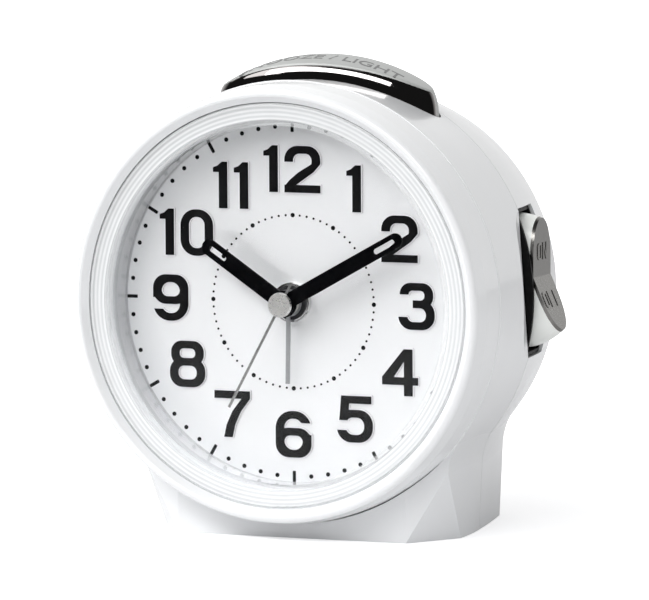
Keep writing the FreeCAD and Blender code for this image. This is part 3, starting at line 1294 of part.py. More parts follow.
def raised(digit, grow, thickness):
    """A digit's strokes, each grown by a rim, made solid and fused into one."""
    strokes = [face.makeOffset2D(grow).Faces[0] if grow else face for face in digit.Faces]
    solids = [stroke.extrude(vec(0, -thickness, 0)) for stroke in strokes]
    return fused(*solids) if len(solids) > 1 else solids[0]


def make_numerals():
    """Black numerals, each on a slightly larger silvered base."""
    digits = [digit for number in range(1, 13) for digit in numeral_faces(number)]
    rims = [raised(digit, NUMERAL_RIM, NUMERAL_RIM_THICKNESS) for digit in digits]
    blacks = [raised(digit, 0, NUMERAL_THICKNESS) for digit in digits]
    save("numeral_rims", Part.makeCompound(rims))
    save("numerals", Part.makeCompound(blacks).translated(vec(0, -NUMERAL_RIM_THICKNESS, 0)))


# hands

def at_hour(shape, degrees):
    turned_shape = shape.copy()
    turned_shape.rotate(vec(0, 0, 0), ALONG_Y, degrees)
    return turned_shape


def bar_hand(length, width, slot_length, hub, front, thickness, bore):
    """Straight hand with a rounded end and an open slot behind it."""
    half = width / 2
    blade = prism([(-half, 0, 0), (half, 0, 0), (half, length, half * NEARLY), (-half, length, half * NEARLY)],
                  front, front + thickness)
    slot_half = HAND_SLOT_WIDTH / 2
    slot_top = length - HAND_SLOT_INSET
    slot_round = slot_half * NEARLY
    slot = prism([(-slot_half, slot_top - slot_length, slot_round), (slot_half, slot_top - slot_length, slot_round),
                  (slot_half, slot_top, slot_round), (-slot_half, slot_top, slot_round)],
                 front - 1, front + thickness + 1)
    whole = fused(blade, disc(hub, front, front + thickness))
    return whole.cut(slot).cut(disc(bore, front - 1, front + thickness + 1))


def make_hands():
    hour = bar_hand(HOUR_HAND_LENGTH, HOUR_HAND_WIDTH, HOUR_SLOT_LENGTH, HOUR_HUB_RADIUS,
                    HOUR_HAND_FRONT_Y, HOUR_HAND_THICKNESS, HOUR_TUBE_RADIUS)
    save("hour_hand", at_hour(hour, HOUR_HAND_ANGLE))
    minute = bar_hand(MINUTE_HAND_LENGTH, MINUTE_HAND_WIDTH, MINUTE_SLOT_LENGTH, MINUTE_HUB_RADIUS,
                      MINUTE_HAND_FRONT_Y, MINUTE_HAND_THICKNESS, MINUTE_TUBE_RADIUS)
    save("minute_hand", at_hour(minute, MINUTE_HAND_ANGLE))
    make_second_hand()
    back = ALARM_HAND_FRONT_Y + ALARM_HAND_THICKNESS
    half = ALARM_HAND_WIDTH / 2
    alarm = prism([(-half, 0, 0), (half, 0, 0), (half, ALARM_HAND_LENGTH, 0), (-half, ALARM_HAND_LENGTH, 0)],
                  ALARM_HAND_FRONT_Y, back)
    alarm = fused(alarm, disc(ALARM_HAND_HUB, ALARM_HAND_FRONT_Y, back))
    alarm = alarm.cut(disc(ALARM_TUBE_RADIUS, ALARM_HAND_FRONT_Y - 1, back + 1))
    save("alarm_hand", at_hour(alarm, ALARM_HAND_ANGLE))


def make_second_hand():
    """Thin steel hand with a tail, and the bright cap pressed over its arbor."""
    back = SECOND_HAND_FRONT_Y + SECOND_HAND_THICKNESS
    half = SECOND_HAND_WIDTH / 2
    blade = prism([(-half, -SECOND_HAND_TAIL, 0), (half, -SECOND_HAND_TAIL, 0),
                   (half, SECOND_HAND_LENGTH, 0), (-half, SECOND_HAND_LENGTH, 0)], SECOND_HAND_FRONT_Y, back)
    hand = fused(blade, disc(CAP_RADIUS * SECOND_HUB_SHARE, SECOND_HAND_FRONT_Y, back))
    hand = hand.cut(disc(SECONDS_ARBOR_RADIUS, SECOND_HAND_FRONT_Y - 1, back + 1))
    save("second_hand", at_hour(hand, SECOND_HAND_ANGLE))
    cap_front = SECOND_HAND_FRONT_Y - CAP_THICKNESS
    cap = turned([(0, cap_front, 0), (CAP_RADIUS - CAP_EDGE, cap_front, 0),
                  (CAP_RADIUS, cap_front + CAP_EDGE, 0), (CAP_RADIUS, SECOND_HAND_FRONT_Y, 0),
                  (0, SECOND_HAND_FRONT_Y, 0)])
    save("second_hand_cap", cap.cut(disc(SECONDS_ARBOR_RADIUS, SECONDS_ARBOR_FRONT, 0)))


SECONDS_ARBOR_FRONT = SECOND_HAND_FRONT_Y - CAP_THICKNESS / 2


# movement: plates

def movement_outline(inset, front, back):
    half = MOVEMENT_HALF - inset
    return prism([(-half, -half, MOVEMENT_CORNER - inset), (half, -half, MOVEMENT_CORNER - inset),
                  (half, half, MOVEMENT_CORNER - inset), (-half, half, MOVEMENT_CORNER - inset)], front, back)


def corner_places():
    near = MOVEMENT_HALF - MOVEMENT_SCREW_INSET
    return [(x, z) for x in (-near, near) for z in (-near, near)]


def arbor_places():
    return {"intermediate": polar(INTERMEDIATE_DISTANCE, INTERMEDIATE_DIRECTION),
            "third": polar(THIRD_DISTANCE, THIRD_DIRECTION),
            "rotor": rotor_place(), "minute": minute_wheel_place()}


def rotor_place():
    x, z = polar(INTERMEDIATE_DISTANCE, INTERMEDIATE_DIRECTION)
    step_x, step_z = polar(ROTOR_DISTANCE, ROTOR_DIRECTION)
    return x + step_x, z + step_z


def minute_wheel_place():
    """Upper point that is as far from the centre as from the time-setting arbor."""
    reach = math.hypot(SET_ARBOR_X, SET_ARBOR_Z)
    set_distance = (TIME_SET_TEETH + MINUTE_WHEEL_TEETH) * MINUTE_MODULE / 2
    along = (MINUTE_DISTANCE ** 2 - set_distance ** 2 + reach ** 2) / (2 * reach)
    across = math.sqrt(MINUTE_DISTANCE ** 2 - along ** 2)
    unit_x, unit_z = -SET_ARBOR_X / reach, SET_ARBOR_Z / reach
    return along * unit_x + across * unit_z, along * unit_z - across * unit_x


def make_front_plate():
    plate = movement_outline(0.0, MOVEMENT_FRONT, FRONT_PLATE_BACK)
    bush = disc(BUSH_RADIUS, BUSH_FRONT_Y, FRONT_PLATE_BACK)
    posts = [disc(MOVEMENT_POST_RADIUS, MOVEMENT_FRONT, MIDDLE_PLATE_Y, x, z) for x, z in corner_places()]
    bore = disc(ALARM_TUBE_RADIUS + RUNNING_FIT, -FAR, FAR)
    holes = [disc(SET_PIVOT_RADIUS + RUNNING_FIT, FRONT_PLATE_BACK - SET_PIVOT_REACH, FAR, x, z)
             for x, z in knob_places()]
    holes += [disc(MOVEMENT_SCREW_RADIUS + MOVEMENT_SCREW_FIT, MOVEMENT_FRONT + FRONT_PLATE / 2, FAR, x, z)
              for x, z in corner_places()]
    save("movement_front_plate", plate.fuse([bush] + posts).cut([bore] + holes).removeSplitter())


def make_middle_plate():
    """Plate between the motion work and the going train, with the minute wheel's stud."""
    back = MIDDLE_PLATE_Y + MIDDLE_PLATE
    plate = movement_outline(MOVEMENT_WALL + MIDDLE_PLATE_FIT, MIDDLE_PLATE_Y, back)
    places = arbor_places()
    stud = disc(STUD_RADIUS, MIDDLE_PLATE_Y - STUD_LENGTH, MIDDLE_PLATE_Y, *places["minute"])
    holes = [disc(MINUTE_TUBE_RADIUS + RUNNING_FIT, 0, FAR)]
    holes += [disc(TRAIN_ARBOR_RADIUS + RUNNING_FIT, 0, FAR, *places[name])
              for name in ("intermediate", "third", "rotor")]
    holes += [disc(SET_ARBOR_RADIUS + RUNNING_FIT, 0, FAR, x, z) for x, z in knob_places()]
    holes += [disc(MOVEMENT_SCREW_RADIUS + MOVEMENT_SCREW_FIT, 0, FAR, x, z) for x, z in corner_places()]
    half_width = COIL_HALF_LENGTH + BOBBIN_FLANGE
    reach = BOBBIN_FLANGE_RADIUS + MIDDLE_PLATE_FIT
    holes.append(box(-half_width, half_width, 0, FAR, COIL_Z - reach, COIL_Z + reach))
    save("movement_middle_plate", fused(plate, stud).cut(holes))


def make_back_cover():
    """Back plate with the side walls and four screw posts in one piece."""
    back = BACK_PLATE_Y + BACK_PLATE
    cover = movement_outline(0.0, FRONT_PLATE_BACK, back)
    cover = cover.cut(movement_outline(MOVEMENT_WALL, 0, BACK_PLATE_Y))
    middle_back = MIDDLE_PLATE_Y + MIDDLE_PLATE
    posts = [disc(MOVEMENT_POST_RADIUS, middle_back, BACK_PLATE_Y + BACK_PLATE / 2, x, z)
             for x, z in corner_places()]
    places = arbor_places()
    holes = [disc(TRAIN_ARBOR_RADIUS + RUNNING_FIT, 0, BACK_PLATE_Y + TRAIN_PIVOT_REACH + RUNNING_FIT, *places[name])
             for name in ("intermediate", "third", "rotor")]
    holes.append(disc(SECONDS_ARBOR_RADIUS + RUNNING_FIT, 0, BACK_PLATE_Y + TRAIN_PIVOT_REACH + RUNNING_FIT))
    holes += [disc(SET_ARBOR_RADIUS + RUNNING_FIT, 0, FAR, x, z) for x, z in knob_places()]
    holes += [disc(MOVEMENT_SCREW_RADIUS + MOVEMENT_SCREW_FIT, 0, FAR, x, z) for x, z in corner_places()]
    save("movement_back_cover", cover.fuse(posts).cut(holes).removeSplitter())


def make_movement_screws():
    top = BACK_PLATE_Y + BACK_PLATE
    screws = []
    for x, z in corner_places():
        head = disc(MOVEMENT_SCREW_HEAD, top, top + MOVEMENT_SCREW_HEAD_HEIGHT, x, z)
        shank = disc(MOVEMENT_SCREW_RADIUS, MOVEMENT_FRONT + FRONT_PLATE, top, x, z)
        recess = screw_cross(x, z, top + MOVEMENT_SCREW_HEAD_HEIGHT, MOVEMENT_SCREW_HEAD)
        screws.append(fused(head, shank).cut(recess))
    save("movement_screws", Part.makeCompound(screws))


# movement: wheels

def gear(teeth, module, front, thickness, phase):
    """Straight-toothed wheel about the axis, with one tooth pointing in the direction phase."""
    pitch_radius = teeth * module / 2
    tip = pitch_radius + TOOTH_ADDENDUM * module
    root = pitch_radius - TOOTH_DEDENDUM * module
    pitch = 2 * math.pi / teeth
    flank = (TOOTH_SHARE - TOOTH_TIP_SHARE) / TOOTH_ADDENDUM
    root_half = pitch * (TOOTH_SHARE + flank * TOOTH_DEDENDUM) / 2
    tip_half = pitch * TOOTH_TIP_SHARE / 2
    corners = []
    for index in range(teeth):
        middle = math.radians(phase) + index * pitch
        for radius, angle in ((root, middle - root_half), (tip, middle - tip_half),
                              (tip, middle + tip_half), (root, middle + root_half)):
            corners.append((radius * math.cos(angle), radius * math.sin(angle), 0))
    return prism(corners, front, front + thickness)


def facing(teeth, direction):
    """Phase of a wheel whose neighbour, in that direction, has a tooth on the line of centres."""
    return direction + FULL_TURN / 2 / teeth


def moved(shape, place):
    return shape.translated(vec(place[0], 0, place[1]))


def train_arbor(front, back):
    return disc(TRAIN_ARBOR_RADIUS, front, back)


def train_piece(wheel, pinion, place, bearing_front):
    """Wheel and pinion on one arbor that runs between the middle plate and the back plate."""
    arbor = train_arbor(bearing_front, BACK_PLATE_Y + TRAIN_PIVOT_REACH)
    hub = disc(WHEEL_HUB_RADIUS * NEARLY / 2, min(wheel.BoundBox.YMin, pinion.BoundBox.YMin),
               max(wheel.BoundBox.YMax, pinion.BoundBox.YMax))
    return moved(fused(wheel, pinion, arbor, hub), place)


def pinion_at(teeth, module, wheel_y, phase):
    return gear(teeth, module, wheel_y - PINION_OVERHANG, TRAIN_WHEEL_THICKNESS + 2 * PINION_OVERHANG, phase)


def make_going_train():
    places = arbor_places()
    plate_inside = MIDDLE_PLATE_Y + MIDDLE_PLATE / 2
    thickness = TRAIN_WHEEL_THICKNESS
    # rotor drives the intermediate wheel
    magnet = disc(ROTOR_RADIUS, STATOR_Y, STATOR_Y + ROTOR_THICKNESS)
    rotor_pinion = pinion_at(ROTOR_PINION_TEETH, ROTOR_MODULE, INTERMEDIATE_WHEEL_Y, ROTOR_DIRECTION + FULL_TURN / 2)
    save("rotor", train_piece(magnet, rotor_pinion, places["rotor"], plate_inside))
    # intermediate wheel drives the second wheel at the centre
    wheel = gear(INTERMEDIATE_TEETH, ROTOR_MODULE, INTERMEDIATE_WHEEL_Y, thickness,
                 facing(INTERMEDIATE_TEETH, ROTOR_DIRECTION))
    pinion = pinion_at(INTERMEDIATE_PINION_TEETH, INTERMEDIATE_MODULE, SECOND_WHEEL_Y,
                       INTERMEDIATE_DIRECTION + FULL_TURN / 2)
    save("intermediate_wheel", train_piece(wheel, pinion, places["intermediate"], plate_inside))
    # second wheel with its arbor through the dial
    wheel = gear(SECOND_TEETH, INTERMEDIATE_MODULE, SECOND_WHEEL_Y, thickness,
                 facing(SECOND_TEETH, INTERMEDIATE_DIRECTION))
    pinion = pinion_at(SECOND_PINION_TEETH, THIRD_MODULE, THIRD_WHEEL_Y, THIRD_DIRECTION)
    arbor = disc(SECONDS_ARBOR_RADIUS, SECONDS_ARBOR_FRONT, BACK_PLATE_Y + TRAIN_PIVOT_REACH)
    hub = disc(WHEEL_HUB_RADIUS * NEARLY / 2, THIRD_WHEEL_Y, SECOND_WHEEL_Y + thickness)
    save("second_wheel", fused(wheel, pinion, arbor, hub))
    # third wheel drives the centre wheel
    wheel = gear(THIRD_TEETH, THIRD_MODULE, THIRD_WHEEL_Y, thickness,
                 facing(THIRD_TEETH, THIRD_DIRECTION + FULL_TURN / 2))
    pinion = pinion_at(THIRD_PINION_TEETH, CENTRE_MODULE, CENTRE_WHEEL_Y, THIRD_DIRECTION + FULL_TURN / 2)
    save("third_wheel", train_piece(wheel, pinion, places["third"], plate_inside))
    wheel = gear(CENTRE_TEETH, CENTRE_MODULE, CENTRE_WHEEL_Y, thickness, facing(CENTRE_TEETH, THIRD_DIRECTION))
    save("centre_wheel", wheel.cut(disc(MINUTE_TUBE_RADIUS + RUNNING_FIT, 0, FAR)))


def direction_to(start, end):
    return math.degrees(math.atan2(end[1] - start[1], end[0] - start[0]))


def make_motion_work():
    centre = (0.0, 0.0)
    minute_place = minute_wheel_place()
    to_minute = direction_to(centre, minute_place)
    # minute tube with its pinion in front of the middle plate and a flange behind the centre wheel
    flange_back = CENTRE_WHEEL_Y + TRAIN_WHEEL_THICKNESS + FRICTION_SPRING_THICKNESS + TUBE_FLANGE
    tube = disc(MINUTE_TUBE_RADIUS, MINUTE_HAND_FRONT_Y, flange_back)
    flange = disc(TUBE_FLANGE_RADIUS, flange_back - TUBE_FLANGE, flange_back)
    pinion = gear(MINUTE_PINION_TEETH, MINUTE_MODULE, MINUTE_WHEEL_Y, MINUTE_WHEEL_THICKNESS, to_minute)
    bore = disc(SECONDS_ARBOR_RADIUS + RUNNING_FIT, -FAR, FAR)
    save("minute_arbor", fused(tube, flange, pinion).cut(bore))
    spring = ring(TUBE_FLANGE_RADIUS, MINUTE_TUBE_RADIUS + RUNNING_FIT, CENTRE_WHEEL_Y + TRAIN_WHEEL_THICKNESS,
                  flange_back - TUBE_FLANGE)
    save("friction_spring", spring)
    # minute wheel turns on the stud and drives the hour wheel
    wheel = gear(MINUTE_WHEEL_TEETH, MINUTE_MODULE, MINUTE_WHEEL_Y, MINUTE_WHEEL_THICKNESS,
                 facing(MINUTE_WHEEL_TEETH, to_minute + FULL_TURN / 2))
    small = gear(HOUR_PINION_TEETH, HOUR_MODULE, HOUR_WHEEL_Y, MINUTE_WHEEL_Y - HOUR_WHEEL_Y,
                 to_minute + FULL_TURN / 2)
    stud_bore = disc(STUD_RADIUS + RUNNING_FIT, 0, FAR)
    save("minute_wheel", moved(fused(wheel, small).cut(stud_bore), minute_place))
    wheel = gear(HOUR_WHEEL_TEETH, HOUR_MODULE, HOUR_WHEEL_Y, HOUR_WHEEL_THICKNESS,
                 facing(HOUR_WHEEL_TEETH, to_minute))
    tube = disc(HOUR_TUBE_RADIUS, HOUR_HAND_FRONT_Y, HOUR_WHEEL_Y + HOUR_WHEEL_THICKNESS)
    save("hour_wheel", fused(wheel, tube).cut(disc(MINUTE_TUBE_RADIUS + RUNNING_FIT, -FAR, FAR)))
    place = (-SET_ARBOR_X, SET_ARBOR_Z)
    # the setting pinion meshes with the minute wheel as the minute pinion has left it
    toward = direction_to(minute_place, place)
    wheel_phase = facing(MINUTE_WHEEL_TEETH, to_minute + FULL_TURN / 2)
    pitch = FULL_TURN / MINUTE_WHEEL_TEETH
    offset = ((toward - wheel_phase) / pitch + 0.5) % 1.0 - 0.5
    set_phase = toward + FULL_TURN / 2 + (0.5 + offset) * FULL_TURN / TIME_SET_TEETH
    pinion = gear(TIME_SET_TEETH, MINUTE_MODULE, MINUTE_WHEEL_Y, MINUTE_WHEEL_THICKNESS, set_phase)
    save("time_set_arbor", moved(fused(pinion, set_arbor()), place))


def set_arbor():
    """Long setting arbor from its pivot in the front plate to its end inside the knob."""
    pivot = disc(SET_PIVOT_RADIUS, FRONT_PLATE_BACK - SET_PIVOT_REACH + RUNNING_FIT, FRONT_PLATE_BACK + 1)
    shaft = disc(SET_ARBOR_RADIUS, FRONT_PLATE_BACK + RUNNING_FIT, KNOB_FRONT + ARBOR_IN_KNOB)
    return fused(pivot, shaft)


KNOB_FRONT = POCKET_FLOOR + KNOB_GAP


def make_alarm_work():
    place = (SET_ARBOR_X, SET_ARBOR_Z)
    toward = direction_to((0.0, 0.0), place)
    wheel = gear(ALARM_WHEEL_TEETH, ALARM_MODULE, ALARM_WHEEL_Y, ALARM_WHEEL_THICKNESS,
                 facing(ALARM_WHEEL_TEETH, toward))
    tube = disc(ALARM_TUBE_RADIUS, ALARM_HAND_FRONT_Y, ALARM_WHEEL_Y + ALARM_WHEEL_THICKNESS)
    save("alarm_wheel", fused(wheel, tube).cut(disc(HOUR_TUBE_RADIUS + RUNNING_FIT, -FAR, FAR)))
    pinion = gear(ALARM_SET_TEETH, ALARM_MODULE, ALARM_WHEEL_Y, ALARM_WHEEL_THICKNESS, toward + FULL_TURN / 2)
    save("alarm_set_arbor", moved(fused(pinion, set_arbor()), place))


def make_knob(name, place):
    """Fluted knob with a dished face and a finger grip across it."""
    back = KNOB_FRONT + KNOB_THICKNESS
    knob = disc(KNOB_RADIUS, KNOB_FRONT, back).cut(disc(KNOB_DISH_RADIUS, back - KNOB_DISH, back + 1))
    knob = knob.fuse(box(-KNOB_DISH_RADIUS, KNOB_DISH_RADIUS, back - 2 * KNOB_DISH, back,
                         -KNOB_GRIP_WIDTH / 2, KNOB_GRIP_WIDTH / 2))
    flutes = []
    for index in range(KNOB_FLUTES):
        x, z = polar(KNOB_RADIUS, FULL_TURN * index / KNOB_FLUTES)
        flutes.append(disc(KNOB_FLUTE_RADIUS, KNOB_FRONT - 1, back + 1, x, z))
    bore = disc(SET_ARBOR_RADIUS, KNOB_FRONT - 1, KNOB_FRONT + ARBOR_IN_KNOB)
    save(name, moved(knob.cut(flutes + [bore]).removeSplitter(), place))


# movement: motor and board

def make_motor():
    rotor_x, rotor_z = rotor_place()
    back = STATOR_Y + STATOR_THICKNESS
    half = STATOR_HALF_LENGTH
    bar = STATOR_BAR / 2
    block = STATOR_BLOCK_HALF
    arm_z = rotor_z - block
    core = box(-half, half, STATOR_Y, back, COIL_Z - bar, COIL_Z + bar)
    around = box(rotor_x - block, rotor_x + block, STATOR_Y, back, rotor_z - block + 1, rotor_z + block - 1)
    left = box(-half, rotor_x, STATOR_Y, back, COIL_Z - bar, rotor_z + bar)
    left = left.cut(box(STATOR_BAR - half, rotor_x + 1, STATOR_Y - 1, back + 1, -FAR, arm_z + 1))
    right = box(rotor_x, half, STATOR_Y, back, arm_z + 1 - STATOR_BAR / 2, arm_z + 1 + STATOR_BAR / 2)
    post = box(half - STATOR_BAR, half, STATOR_Y, back, COIL_Z, arm_z + 1)
    hole = disc(ROTOR_RADIUS + ROTOR_AIR_GAP, 0, FAR, rotor_x, rotor_z)
    save("stator", fused(core, around, left, right, post).cut(hole))
    middle_y = STATOR_Y + STATOR_THICKNESS / 2
    slot = box(-half, half, STATOR_Y - BOBBIN_HOLE_FIT, back + BOBBIN_HOLE_FIT,
               COIL_Z - bar - BOBBIN_HOLE_FIT, COIL_Z + bar + BOBBIN_HOLE_FIT)
    bobbin = along_x(BOBBIN_RADIUS, -COIL_HALF_LENGTH, COIL_HALF_LENGTH, middle_y, COIL_Z)
    for end in (-COIL_HALF_LENGTH, COIL_HALF_LENGTH - BOBBIN_FLANGE):
        bobbin = bobbin.fuse(along_x(BOBBIN_FLANGE_RADIUS, end, end + BOBBIN_FLANGE, middle_y, COIL_Z))
    save("coil_bobbin", bobbin.cut(slot))
    inner = COIL_HALF_LENGTH - BOBBIN_FLANGE
    winding = along_x(COIL_RADIUS, -inner, inner, middle_y, COIL_Z)
    save("coil_winding", winding.cut(along_x(BOBBIN_RADIUS, -FAR, FAR, middle_y, COIL_Z)))


def along_x(radius, left, right, y, z):
    return Part.makeCylinder(radius, right - left, vec(left, y, z), ALONG_X)


def make_board():
    back = BOARD_Y + BOARD_THICKNESS
    board = box(-BOARD_HALF_WIDTH, BOARD_HALF_WIDTH, BOARD_Y, back, BOARD_BOTTOM_Z, BOARD_TOP_Z)
    save("circuit_board", board)
    middle = (BOARD_BOTTOM_Z + BOARD_TOP_Z) / 2
    chip = turned([(0, 0, 0), (CHIP_RADIUS, 0, 0), (CHIP_RADIUS, CHIP_HEIGHT, CHIP_HEIGHT * NEARLY),
                   (0, CHIP_HEIGHT, 0)])
    save("clock_chip", chip.translated(vec(0, back, middle)))
    crystal_x = BOARD_HALF_WIDTH / 2
    save("quartz_crystal", along_x(CRYSTAL_RADIUS, crystal_x - CRYSTAL_LENGTH / 2,
                                   crystal_x + CRYSTAL_LENGTH / 2, back + CRYSTAL_RADIUS, middle))
    save("board_capacitor", along_x(CAPACITOR_RADIUS, -crystal_x - CAPACITOR_LENGTH / 2,
                                    CAPACITOR_LENGTH / 2 - crystal_x, back + CAPACITOR_RADIUS, middle))


def make_lamp():
    """Lamp in the dial wall behind the lens skirt, with its flange and two leads."""
    front = DIAL_WALL_BACK - DIAL_WALL + LAMP_RADIUS / 2
    back = DIAL_WALL_BACK + LAMP_LENGTH - DIAL_WALL
    body = disc(LAMP_RADIUS, front, back, 0, LAMP_Z)
    flange = disc(LAMP_FLANGE_RADIUS, DIAL_WALL_BACK, DIAL_WALL_BACK + LAMP_FLANGE, 0, LAMP_Z)
    leads = [disc(LAMP_WIRE_RADIUS, back - 1, back + LAMP_WIRE_LENGTH, x, LAMP_Z)
             for x in (-LAMP_WIRE_SPACING, LAMP_WIRE_SPACING)]
    save("lamp", fused(body, flange, *leads))


def make_sounder():
    """Small loudspeaker clamped in the ring behind the grille: basket, cone and magnet."""
    back = BODY_DEPTH - WALL
    rim_front = back - SOUNDER_RIM_THICKNESS
    neck = back - SOUNDER_DEPTH
    inner = SOUNDER_RADIUS - SOUNDER_RIM
    basket = turned([(SOUNDER_RADIUS, back, 0), (SOUNDER_RADIUS, rim_front, 0), (inner, rim_front, 0),
                     (SOUNDER_NECK_RADIUS, neck, 0), (0, neck, 0), (0, neck + SOUNDER_SHEET, 0),
                     (SOUNDER_NECK_RADIUS - SOUNDER_SHEET, neck + SOUNDER_SHEET, 0),
                     (inner - SOUNDER_SHEET, rim_front + SOUNDER_SHEET, 0), (inner - SOUNDER_SHEET, back, 0)])
    save("sounder_basket", basket.translated(vec(0, 0, SOUNDER_Z)))
    rim_y = back - SOUNDER_SHEET
    neck_y = neck + 2 * SOUNDER_SHEET
    edge = inner - SOUNDER_SHEET
    cone = turned([(CONE_RADIUS * NEARLY, rim_y, 0), (CONE_NECK_RADIUS, neck_y + CONE_SHEET, 0),
                   (0, neck_y + CONE_SHEET, 0), (0, neck_y, 0), (CONE_NECK_RADIUS, neck_y, 0),
                   (CONE_RADIUS * NEARLY, rim_y - CONE_SHEET, 0), (edge, rim_y - CONE_SHEET, 0), (edge, rim_y, 0)])
    save("sounder_cone", cone.translated(vec(0, 0, SOUNDER_Z)))
    save("sounder_magnet", disc(SOUNDER_NECK_RADIUS, neck - MAGNET_THICKNESS, neck, 0, SOUNDER_Z))


def main():
    os.makedirs("parts", exist_ok=True)
    make_front_case()
    make_rear_case()
    make_bezel()
    make_lens()
    make_dial()
    make_numerals()
    make_hands()
    make_front_plate()
    make_middle_plate()
    make_back_cover()
    make_movement_screws()
    make_going_train()
    make_motion_work()
    make_alarm_work()
    make_knob("time_knob", (-SET_ARBOR_X, SET_ARBOR_Z))
    make_knob("alarm_knob", (SET_ARBOR_X, SET_ARBOR_Z))
    make_motor()
    make_board()
    make_lamp()
    make_sounder()
    make_snooze_bar()
    make_snooze_small_parts()
    make_snooze_switch()
    make_rocker()
    make_rocker_plate()
    make_rocker_housing()
    make_alarm_contact()
    make_battery()
    make_battery_door()
    make_case_screws()


if __name__ == "__main__":
    main()
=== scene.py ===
"""Round bedside alarm clock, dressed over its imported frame.

Lengths are written in millimetres from the dial's centre: x to the reader's right, y away from the
reader, z up.  seat() turns them into metres where the clock stands on the floor.
"""
import math

import bmesh
import bpy
import numpy as np
from mathutils import Matrix, Vector


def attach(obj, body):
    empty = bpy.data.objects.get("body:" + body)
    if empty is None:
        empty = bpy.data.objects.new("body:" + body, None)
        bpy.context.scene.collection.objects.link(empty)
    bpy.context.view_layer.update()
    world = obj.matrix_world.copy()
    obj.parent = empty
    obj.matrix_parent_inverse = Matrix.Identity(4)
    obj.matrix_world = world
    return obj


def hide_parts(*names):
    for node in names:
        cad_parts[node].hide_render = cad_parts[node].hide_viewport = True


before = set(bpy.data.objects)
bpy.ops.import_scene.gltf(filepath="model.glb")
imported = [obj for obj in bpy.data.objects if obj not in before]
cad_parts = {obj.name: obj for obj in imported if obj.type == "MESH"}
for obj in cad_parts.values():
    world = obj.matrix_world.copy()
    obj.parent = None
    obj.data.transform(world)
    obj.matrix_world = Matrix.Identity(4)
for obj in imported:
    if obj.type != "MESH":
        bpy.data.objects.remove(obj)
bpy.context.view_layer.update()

DIAL_CENTRE = np.array((0.0, -25.0, 55.1))
MM = 0.001
TURN = 2 * math.pi

# minute track and alarm track printed on the dial
MINUTE_TRACK, MINUTE_DOT, HOUR_BAR_LONG, HOUR_BAR_WIDE = 41.0, 0.52, 1.38, 0.4
ALARM_TRACK, ALARM_DOT_SMALL, ALARM_DOT_BIG = 20.26, 0.275, 0.53
INK = 0.05
DOT_POWER, BAR_POWER = 2, 9
DOT_SIDES, SMALL_DOT_SIDES, BAR_SIDES = 20, 14, 32

# snooze bar: oval outline, crowned top, and how much of the wall's lean comes evenly with height
BAR_Y, BAR_LONG, BAR_DEEP = 21.4, 27.9, 9.4
BAR_TOP, CROWN_LONG, CROWN_SHORT = 56.5, 48.0, 20.0
BAR_FOOT_RADIUS, BAR_THICK, WALL_LEAN, EDGE_FALL = 49.4, 0.45, 1.2, 0.3
LEAN_EVEN, BAR_STEPS = 0.15, 192

# mirror band on the bar's front: from and to these angles of the oval
BAND_LEFT, BAND_RIGHT, BAND_PROUD, BAND_CORNER = -118.0, 86.0, 0.1, 1.5
BAND_TOP, BAND_SINK, BAND_END, BAND_CORNER_FALL = 0.97, 0.2, 0.25, 4.0
BAND_STEPS, BAND_ROWS = 201, 15

# lettering on the bar's top, in front of its middle line
WORD_SIZE, WORD_SPAN, WORD_SHIFT, WORD_RELIEF = 4.06, 41.0, 4.4, 0.16

# bead on the edge where the bezel meets the body
BODY_EDGE, BEAD, BEAD_STEPS, BEAD_SIDES = 51.4, 0.32, 240, 12

# an edge that turns by more than this many degrees stays sharp
SHARP_EDGE = 40.0

# the studio: how bright the room is to soft light, and in front of the clock to a mirror
AMBIENT, DARK_ROOM = 0.54, 0.02


# ---------------------------------------------------------------- surfaces

def seat(points):
    """Clock millimetres to metres on the floor: (point + dial centre) / 1000."""
    return (np.asarray(points, float) + DIAL_CENTRE) * MM


def quads(rows, columns, wrap_rows=False, wrap_columns=True):
    """Faces of a grid: each point with the next along both parameters, first after last where wrapped."""
    row, column = np.meshgrid(np.arange(rows if wrap_rows else rows - 1),
                              np.arange(columns if wrap_columns else columns - 1), indexing="ij")
    below, beside = (row + 1) % rows, (column + 1) % columns
    corners = (row * columns + column, row * columns + beside, below * columns + beside,
               below * columns + column)
    return np.stack(corners, -1).reshape(-1, 4)


def piece(name, points, faces, body, slot, finish):
    """A closed, outward-facing, smooth piece that rides on a body of the frame."""
    mesh = bpy.data.meshes.new(name)
    mesh.from_pydata(seat(points).tolist(), [], [list(face) for face in faces])
    shell = bmesh.new()
    shell.from_mesh(mesh)
    bmesh.ops.remove_doubles(shell, verts=shell.verts, dist=1e-7)
    bmesh.ops.recalc_face_normals(shell, faces=shell.faces)
    shell.to_mesh(mesh)
    shell.free()
    mesh.shade_smooth()
    mesh.set_sharp_from_angle(angle=math.radians(SHARP_EDGE))
    mesh.materials.append(finish)
    made = bpy.data.objects.new(name, mesh)
    bpy.context.scene.collection.objects.link(made)
    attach(made, body)
    return made


